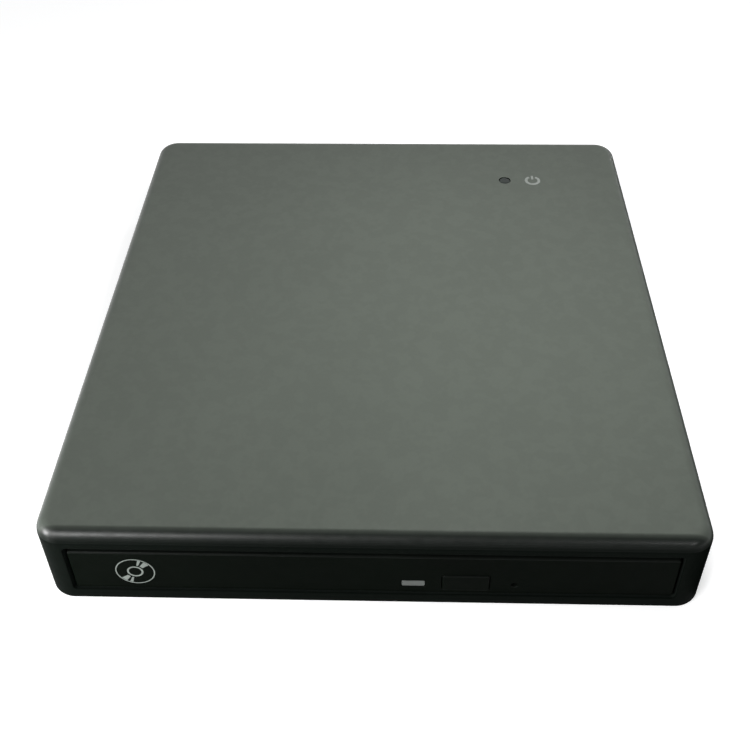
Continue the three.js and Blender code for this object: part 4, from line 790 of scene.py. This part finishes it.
# Inside
def dress_rest():
    for node, material, slot, bevel in (
        ("base_cover", base_plastic, "case_plastic", 0.25),
        ("bridge_board", board_green, "board_green", 0.05),
        ("bridge_chip", chip_plastic, "chip_black", 0.15),
        ("usb_socket", nickel, "bright_steel", 0.1),
        ("power_socket", black_plastic, "connector_black", 0.12),
        ("board_connector", black_plastic, "connector_black", 0.15),
        ("status_led", white_plastic, "acetal", 0.15),
        ("drive_pan", sheet_steel, "sheet_steel", 0.12),
        ("drive_lid", sheet_steel, "sheet_steel", 0.12),
        ("guide_left", black_plastic, "connector_black", 0.15),
        ("guide_right", black_plastic, "connector_black", 0.15),
        ("runner_left", bright_steel, "bright_steel", 0.12),
        ("runner_right", bright_steel, "bright_steel", 0.12),
        ("main_board", board_green, "board_green", 0.05),
        ("main_chip", chip_plastic, "chip_black", 0.15),
        ("drive_plug", black_plastic, "connector_black", 0.15),
        ("lock_pin", bright_steel, "bright_steel", 0.08),
        ("tray", tray_plastic, "tray_plastic", 0.2),
        ("under_plate", sheet_steel, "sheet_steel", 0.08),
        ("tray_board", board_green, "board_green", 0.05),
        ("eject_switch", white_plastic, "acetal", 0.1),
        ("lock_coil", copper, "copper", 0.3),
        ("lock_lever", bright_steel, "bright_steel", 0.1),
        ("ejector_pin", bright_steel, "bright_steel", 0.15),
        ("deck_plate", sheet_steel, "sheet_steel", 0.1),
        ("traverse_frame", sheet_steel, "sheet_steel", 0.12),
        ("spindle_base", sheet_steel, "sheet_steel", 0.08),
        ("stator", copper, "copper", 0.15),
        ("guide_rod_left", turned_steel, "bright_steel", 0.1),
        ("guide_rod_right", turned_steel, "bright_steel", 0.1),
        ("feed_motor", nickel, "sheet_steel", 0.2),
        ("screw_bearing", white_plastic, "acetal", 0.15),
        ("damper_1", rubber, "rubber", 0.15),
        ("damper_2", rubber, "rubber", 0.15),
        ("damper_3", rubber, "rubber", 0.15),
        ("turntable", black_plastic, "connector_black", 0.12),
        ("disc_pad", rubber, "rubber", 0.08),
        ("clamp_pawl_1", white_plastic, "acetal", 0.1),
        ("clamp_pawl_2", white_plastic, "acetal", 0.1),
        ("clamp_pawl_3", white_plastic, "acetal", 0.1),
        ("pickup_sled", black_plastic, "connector_black", 0.2),
        ("lens_holder", black_plastic, "connector_black", 0.15),
        ("pickup_lens", lens_glass, "lens_glass", 0.0),
    ):
        dress(node, material, bevel)


def build_flex():
    """The flat cable, doubled under the tray: the lower run stays, the upper one unrolls with the tray.

    The upper run climbs just so much that its share of the tray's motion grows evenly along it."""
    board_end, fold, tray_end = 36.55, -37.2, 30.75
    rest_level, low, high = 5.34, 5.44, 5.76
    half_width, steps, fold_steps = 11.0, 60, 12
    radius = (low - rest_level) / 2
    line = [(board_end + (fold - board_end) * t / steps, rest_level) for t in range(steps + 1)]
    turns = [math.pi * t / fold_steps for t in range(1, fold_steps)]
    line += [(fold - radius * math.sin(a), rest_level + radius * (1 - math.cos(a))) for a in turns]
    for step in range(steps + 1):
        share = step / steps
        climb = 0.5 - math.sin(math.asin(1 - 2 * share) / 3)
        line.append((fold + (tray_end - fold) * share, low + (high - low) * climb))
    verts = [(x, y, z) for y, z in line for x in (-half_width, 0.0, half_width)]
    faces = []
    for row in range(len(line) - 1):
        for column in range(2):
            a = row * 3 + column
            faces.append((a, a + 1, a + 4, a + 3))
    cable = new_object("flat_cable", verts, faces)
    cable.data.shade_smooth()
    cable.data.materials.append(flex_film)
    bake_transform(cable, "case", "tray", start=(0, 0, low * MM), end=(0, 0, high * MM))
    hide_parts("flex_lower_run", "flex_upper_run")


def build_lead_screw():
    """The feed screw: a left-hand groove that carries the sled out by one pitch a turn."""
    start, end, offset, height = 3.9, 61.3, 18.0, 4.3
    shank, depth, pitch, sides, rings_a_turn = 0.8, 0.24, 3.0, 20, 12
    plain_start, plain_end = 1.5, 2.5
    rings = []
    steps = int((end - start) / pitch * rings_a_turn)
    for step in range(steps + 1):
        along = start + (end - start) * step / steps
        groove = 0.0 if along - start < plain_start or end - along < plain_end else depth
        ring = []
        for side in range(sides):
            angle = 2 * math.pi * side / sides
            phase = (along / pitch + side / sides) % 1.0
            radius = shank - groove * max(0.0, 1 - abs(phase - 0.5) * 4)
            ring.append((along, offset + radius * math.cos(angle), height + radius * math.sin(angle)))
        rings.append(ring)
    screw = turned_out(loft("feed_screw", rings))
    place(screw, "lead_screw", turned_steel, ["lead_screw"], 50)


def screw_head(name, x, y, level):
    """A low pan head with a cross slot, sunk a little into its seat."""
    radius, rise, sunk, wall = 1.5, 0.3, 0.3, 0.35
    profile = [(0, level - sunk), (radius, level - sunk), (radius, level + rise * wall)]
    profile += [(radius * math.cos(a), level + rise * (wall + (1 - wall) * math.sin(a)))
                for a in [math.pi / 2 * i / 6 for i in range(1, 6)]] + [(0, level + rise)]
    head = lathe(name, profile, x, y, 40)
    return carve(head, *cross_slot(x, y, radius * 0.62, radius * 0.16, level, level + rise + 1))


def build_deck_details():
    """Screws, stiffening beads and a turned-up lip on the metal deck of the traverse unit."""
    top = DECK_TOP
    for number, (u, v) in enumerate(((-10.5, -13.5), (-10.5, 17.5), (38, -12.5), (47, 16.5)), 1):
        place(turned_out(screw_head(f"deck_screw_{number}", u, v, top)), "tray", nickel)
    beads = [upright("bead", 36, 2.0, 0.95, top - 0.05, top + 0.25, 0.01, 0.24, 26, 13.5, 5),
             upright("bead", 18, 1.6, 0.75, top - 0.05, top + 0.22, 0.01, 0.20, 24, -12.5, 5)]
    slot = growing(54.5, 14.4, 3.0, 37.25, 0)
    section = ((0.9, -0.05), (0.8, 0.16), (0.6, 0.24), (0.2, 0.24), (0.05, 0.16), (0.0, -0.05))
    lip = loft("deck_lip", [on_z(slot(growth), top + rise) for growth, rise in section], closed=True)
    carve(lip, lathe("cutter", [(14.5, top - 1), (14.5, top + 1)]))
    place(turned_out(gather(lip, *beads)), "tray", sheet_steel)


def build_pickup_details():
    """Magnets, coils and adjusting screws round the lens."""
    u = LENS_U
    bars = [upright("magnet", 5.0, 0.8, 0.15, 6.55, 6.72, 0.01, 0.06, u, side * 5.35, 3)
            for side in (-1, 1)]
    place(turned_out(gather(*bars)), "sled", bright_steel)
    coils = [upright("coil", 4.6, 0.7, 0.3, 6.25, 6.42, 0.01, 0.08, u, side * 3.65, 3)
             for side in (-1, 1)]
    coils += [upright("coil", 0.7, 4.6, 0.3, 6.25, 6.40, 0.01, 0.08, u + side * 3.0, 0, 3)
              for side in (-1, 1)]
    place(turned_out(gather(*coils)), "lens", copper)
    rim = lathe("lens_rim", [(2.12, 6.2), (2.6, 6.2), (2.6, 6.42), (2.48, 6.5), (2.24, 6.5), (2.12, 6.42)],
                u, 0, 64, closed=True)
    place(turned_out(rim), "lens", black_plastic)
    dots = [lathe("dot", [(0, 6.5), (0.42, 6.5), (0.42, 6.66), (0.34, 6.7), (0, 6.7)],
                  u + sx * 5.1, sy * 5.1, 20) for sx in (-1, 1) for sy in (-1, 1)]
    place(turned_out(gather(*dots)), "sled", nickel)


def build_hub_cap():
    """The steel shaft end and the ring pressed into the hub."""
    top = HUB_TOP
    cap = lathe("hub_cap", [
        (0, top - 0.1), (3.1, top - 0.1), (3.1, top + 0.06), (2.9, top + 0.14), (2.3, top + 0.14),
        (2.15, top + 0.02), (1.2, top + 0.02), (1.1, top + 0.16), (0.9, top + 0.2), (0, top + 0.2),
    ], 0, SPINDLE_Y, 64)
    place(cap, "turntable", bright_steel)
    ring = lathe("hub_ring", [(4.6, top - 0.1), (5.6, top - 0.1), (5.6, top + 0.04), (5.45, top + 0.1),
                              (4.75, top + 0.1), (4.6, top + 0.04)], 0, SPINDLE_Y, 80, closed=True)
    place(ring, "turntable", black_plastic)


def build_board_parts():
    """Small components in rows on the boards, each with its soldered ends."""
    column_pitch, row_pitch = 2.6, 2.2
    empty_share, dark_share = 0.35, 0.4
    sizes, heights = ((1.6, 0.8), (1.0, 0.5), (2.0, 1.25), (1.6, 0.8)), (0.45, 0.6, 0.8)
    chooser = random.Random(7)
    for name, body, level, zones in (
        ("bridge_parts", "case", 6.2, ((-35, 55, -24, 74), (-12, 60, 4, 74), (39, 54, 61, 74))),
        ("main_parts", "case", 6.8, ((-52, 38, -22, 50), (-20, 38, 23, 46), (40, 38, 52, 50))),
        ("tray_parts", "tray", 7.6, ((3, -71, 6, -65.2), (11.4, -71, 16.4, -65.2), (23.6, -71, 36, -65.2))),
    ):
        bodies, ends = [], []
        for x0, y0, x1, y1 in zones:
            for column in range(int((x1 - x0) / column_pitch)):
                for row in range(int((y1 - y0) / row_pitch)):
                    if chooser.random() < empty_share:
                        continue
                    long, wide = chooser.choice(sizes)
                    tall = level + chooser.choice(heights)
                    x, y = x0 + column_pitch * (column + 0.5), y0 + row_pitch * (row + 0.5)
                    part = block("part", x - long / 2, x + long / 2, y - wide / 2, y + wide / 2, level, tall)
                    dark = chooser.random() < dark_share
                    for face in part.data.polygons:
                        face.material_index = int(dark)
                    bodies.append(part)
                    for side in (-1, 1):
                        tip, half = x + side * long * 0.42, long * 0.1
                        ends.append(block("end", tip - half, tip + half, y - wide * 0.53, y + wide * 0.53,
                                          level, tall + 0.03))
        parts = gather(*bodies)
        parts.name = name
        parts.data.materials.append(ceramic)
        parts.data.materials.append(chip_plastic)
        place(parts, body, None)
        caps = gather(*ends)
        caps.name = name + "_ends"
        place(caps, body, nickel)


# Stage
def build_world():
    """White to the camera, grey bands to gloss and glass, and an even, faint light to all the rest."""
    world = bpy.data.worlds.new("studio")
    bpy.context.scene.world = world
    world.use_nodes = True
    tree = world.node_tree
    output = next(n for n in tree.nodes if n.type == "OUTPUT_WORLD")
    ambient = next(n for n in tree.nodes if n.type == "BACKGROUND")
    ambient.inputs["Color"].default_value = (0.96, 0.98, 1.0, 1.0)
    ambient.inputs["Strength"].default_value = 0.205
    seen = seen_rays(tree)
    coords = tree.nodes.new("ShaderNodeTexCoord")
    way = tree.nodes.new("ShaderNodeSeparateXYZ")
    tree.links.new(coords.outputs["Generated"], way.inputs["Vector"])
    behind = add_ramp(tree, way.outputs["Z"], (
        (0.15, 0.8), (0.42, 0.22), (0.64, 0.70), (0.80, 0.64), (0.93, 0.02),
    ))
    before = add_ramp(tree, way.outputs["Z"], ((0.04, 1.0), (0.16, 0.03)))
    share = add_ramp(tree, way.outputs["Y"], ((0.05, 0.0), (0.50, 1.0)))
    bands = add_mix(tree, share, before, behind)
    path = tree.nodes.new("ShaderNodeLightPath")
    white = tree.nodes.new("ShaderNodeBackground")
    view = add_mix(tree, path.outputs["Is Camera Ray"], bands, (1.0, 1.0, 1.0))
    tree.links.new(view, white.inputs["Color"])
    white.inputs["Strength"].default_value = 1.0
    blend = tree.nodes.new("ShaderNodeMixShader")
    tree.links.new(seen, blend.inputs[0])
    tree.links.new(ambient.outputs[0], blend.inputs[1])
    tree.links.new(white.outputs[0], blend.inputs[2])
    tree.links.new(blend.outputs[0], output.inputs["Surface"])


def build_floor():
    """Pale paper with a glow that grows with the distance and keeps the drive's shadow."""
    reach, thickness = 1500, 2.0
    look = Look("floor_paper", 0.9, 0.0, 0.0)
    look.colour(look.ramp(look.noise(8.0, 2.0), [(0.3, 0.86), (0.7, 0.88)]))
    tree = look.tree
    output = next(n for n in tree.nodes if n.type == "OUTPUT_MATERIAL")
    seen = seen_rays(tree)
    glow = tree.nodes.new("ShaderNodeEmission")
    far = look.node("ShaderNodeVectorMath", operation="LENGTH")
    look.link(look.coords.outputs["Object"], far.inputs[0])
    glow_level = look.ramp(far.outputs["Value"], [(0.28, 0.52), (0.75, 1.0)])
    amount = look.math("MULTIPLY", seen, glow_level)
    tree.links.new(amount, glow.inputs["Strength"])
    total = tree.nodes.new("ShaderNodeAddShader")
    tree.links.new(look.shader.outputs[0], total.inputs[0])
    tree.links.new(glow.outputs[0], total.inputs[1])
    tree.links.new(total.outputs[0], output.inputs["Surface"])
    rim = circle(reach, sides=96)
    floor = loft("floor", [on_z(rim, -thickness), on_z(rim, 0.0)])
    floor.data.materials.append(look.material)


def add_lamp(name, place_at, aim, size, power, beam=None):
    """A round lamp of a size in metres and a power in watts; with a beam, in degrees, it is a spot."""
    data = bpy.data.lights.new(name, "SPOT" if beam else "AREA")
    if beam:
        data.shadow_soft_size = size / 2
        data.spot_size = math.radians(beam)
        data.spot_blend = 0.5
    else:
        data.shape = "DISK"
        data.size = size
    data.energy = power
    lamp = bpy.data.objects.new(name, data)
    bpy.context.scene.collection.objects.link(lamp)
    lamp.location = place_at
    lamp.visible_camera = False
    lamp.rotation_euler = (Vector(aim) - Vector(place_at)).to_track_quat("-Z", "Y").to_euler()
    return lamp


def build_lights():
    overhead = add_lamp("overhead", (0.031, 0.002, 0.165), (0.031, 0.002, 0.0), 0.06, 0.188)
    low_left = add_lamp("low_left", (-0.145, -0.135, 0.012), (-0.06, -0.06, 0.012), 0.03, 0.2)
    rear = add_lamp("rear", (0.46, 0.74, 0.085), (0, 0, 0.01), 0.14, 4.0)
    for lamp in (overhead, low_left, rear):
        lamp.visible_glossy = False
    add_lamp("front_left", (-0.31, -0.48, 0.45), (0, 0, 0.01), 0.24, 2.75)
    add_lamp("front_right", (0.50, -0.78, 0.72), (0, 0, 0.01), 0.16, 1.4)
    corner = add_lamp("corner", (-0.43, -0.22, 0.16), (-0.073, -0.077, 0.018), 0.05, 30.0, 4.8)
    corner.visible_diffuse = False


def build_flag():
    """A black card lying beside the drive, seen by gloss alone, that keeps its right side dark."""
    card = block("flag", 71.2, 300, -90, 350, -0.1, 0.4)
    look = Look("flag_paper", 0.9, 0.0, 0.0)
    look.colour(look.ramp(look.noise(8.0, 2.0), [(0.3, 0.004), (0.7, 0.006)]))
    card.data.materials.append(look.material)
    for kind in ("camera", "diffuse", "transmission", "shadow"):
        setattr(card, "visible_" + kind, False)


# Assembly
add_camera()
build_cover()
build_feet_and_screws()
build_symbol()
build_light_pipe()
build_bezel()
build_button()
build_window()
build_mark()
dress_rest()
build_flex()
build_lead_screw()
build_deck_details()
build_pickup_details()
build_hub_cap()
build_board_parts()
build_world()
build_floor()
build_lights()
build_flag()
bpy.context.scene.view_settings.view_transform = "Standard"
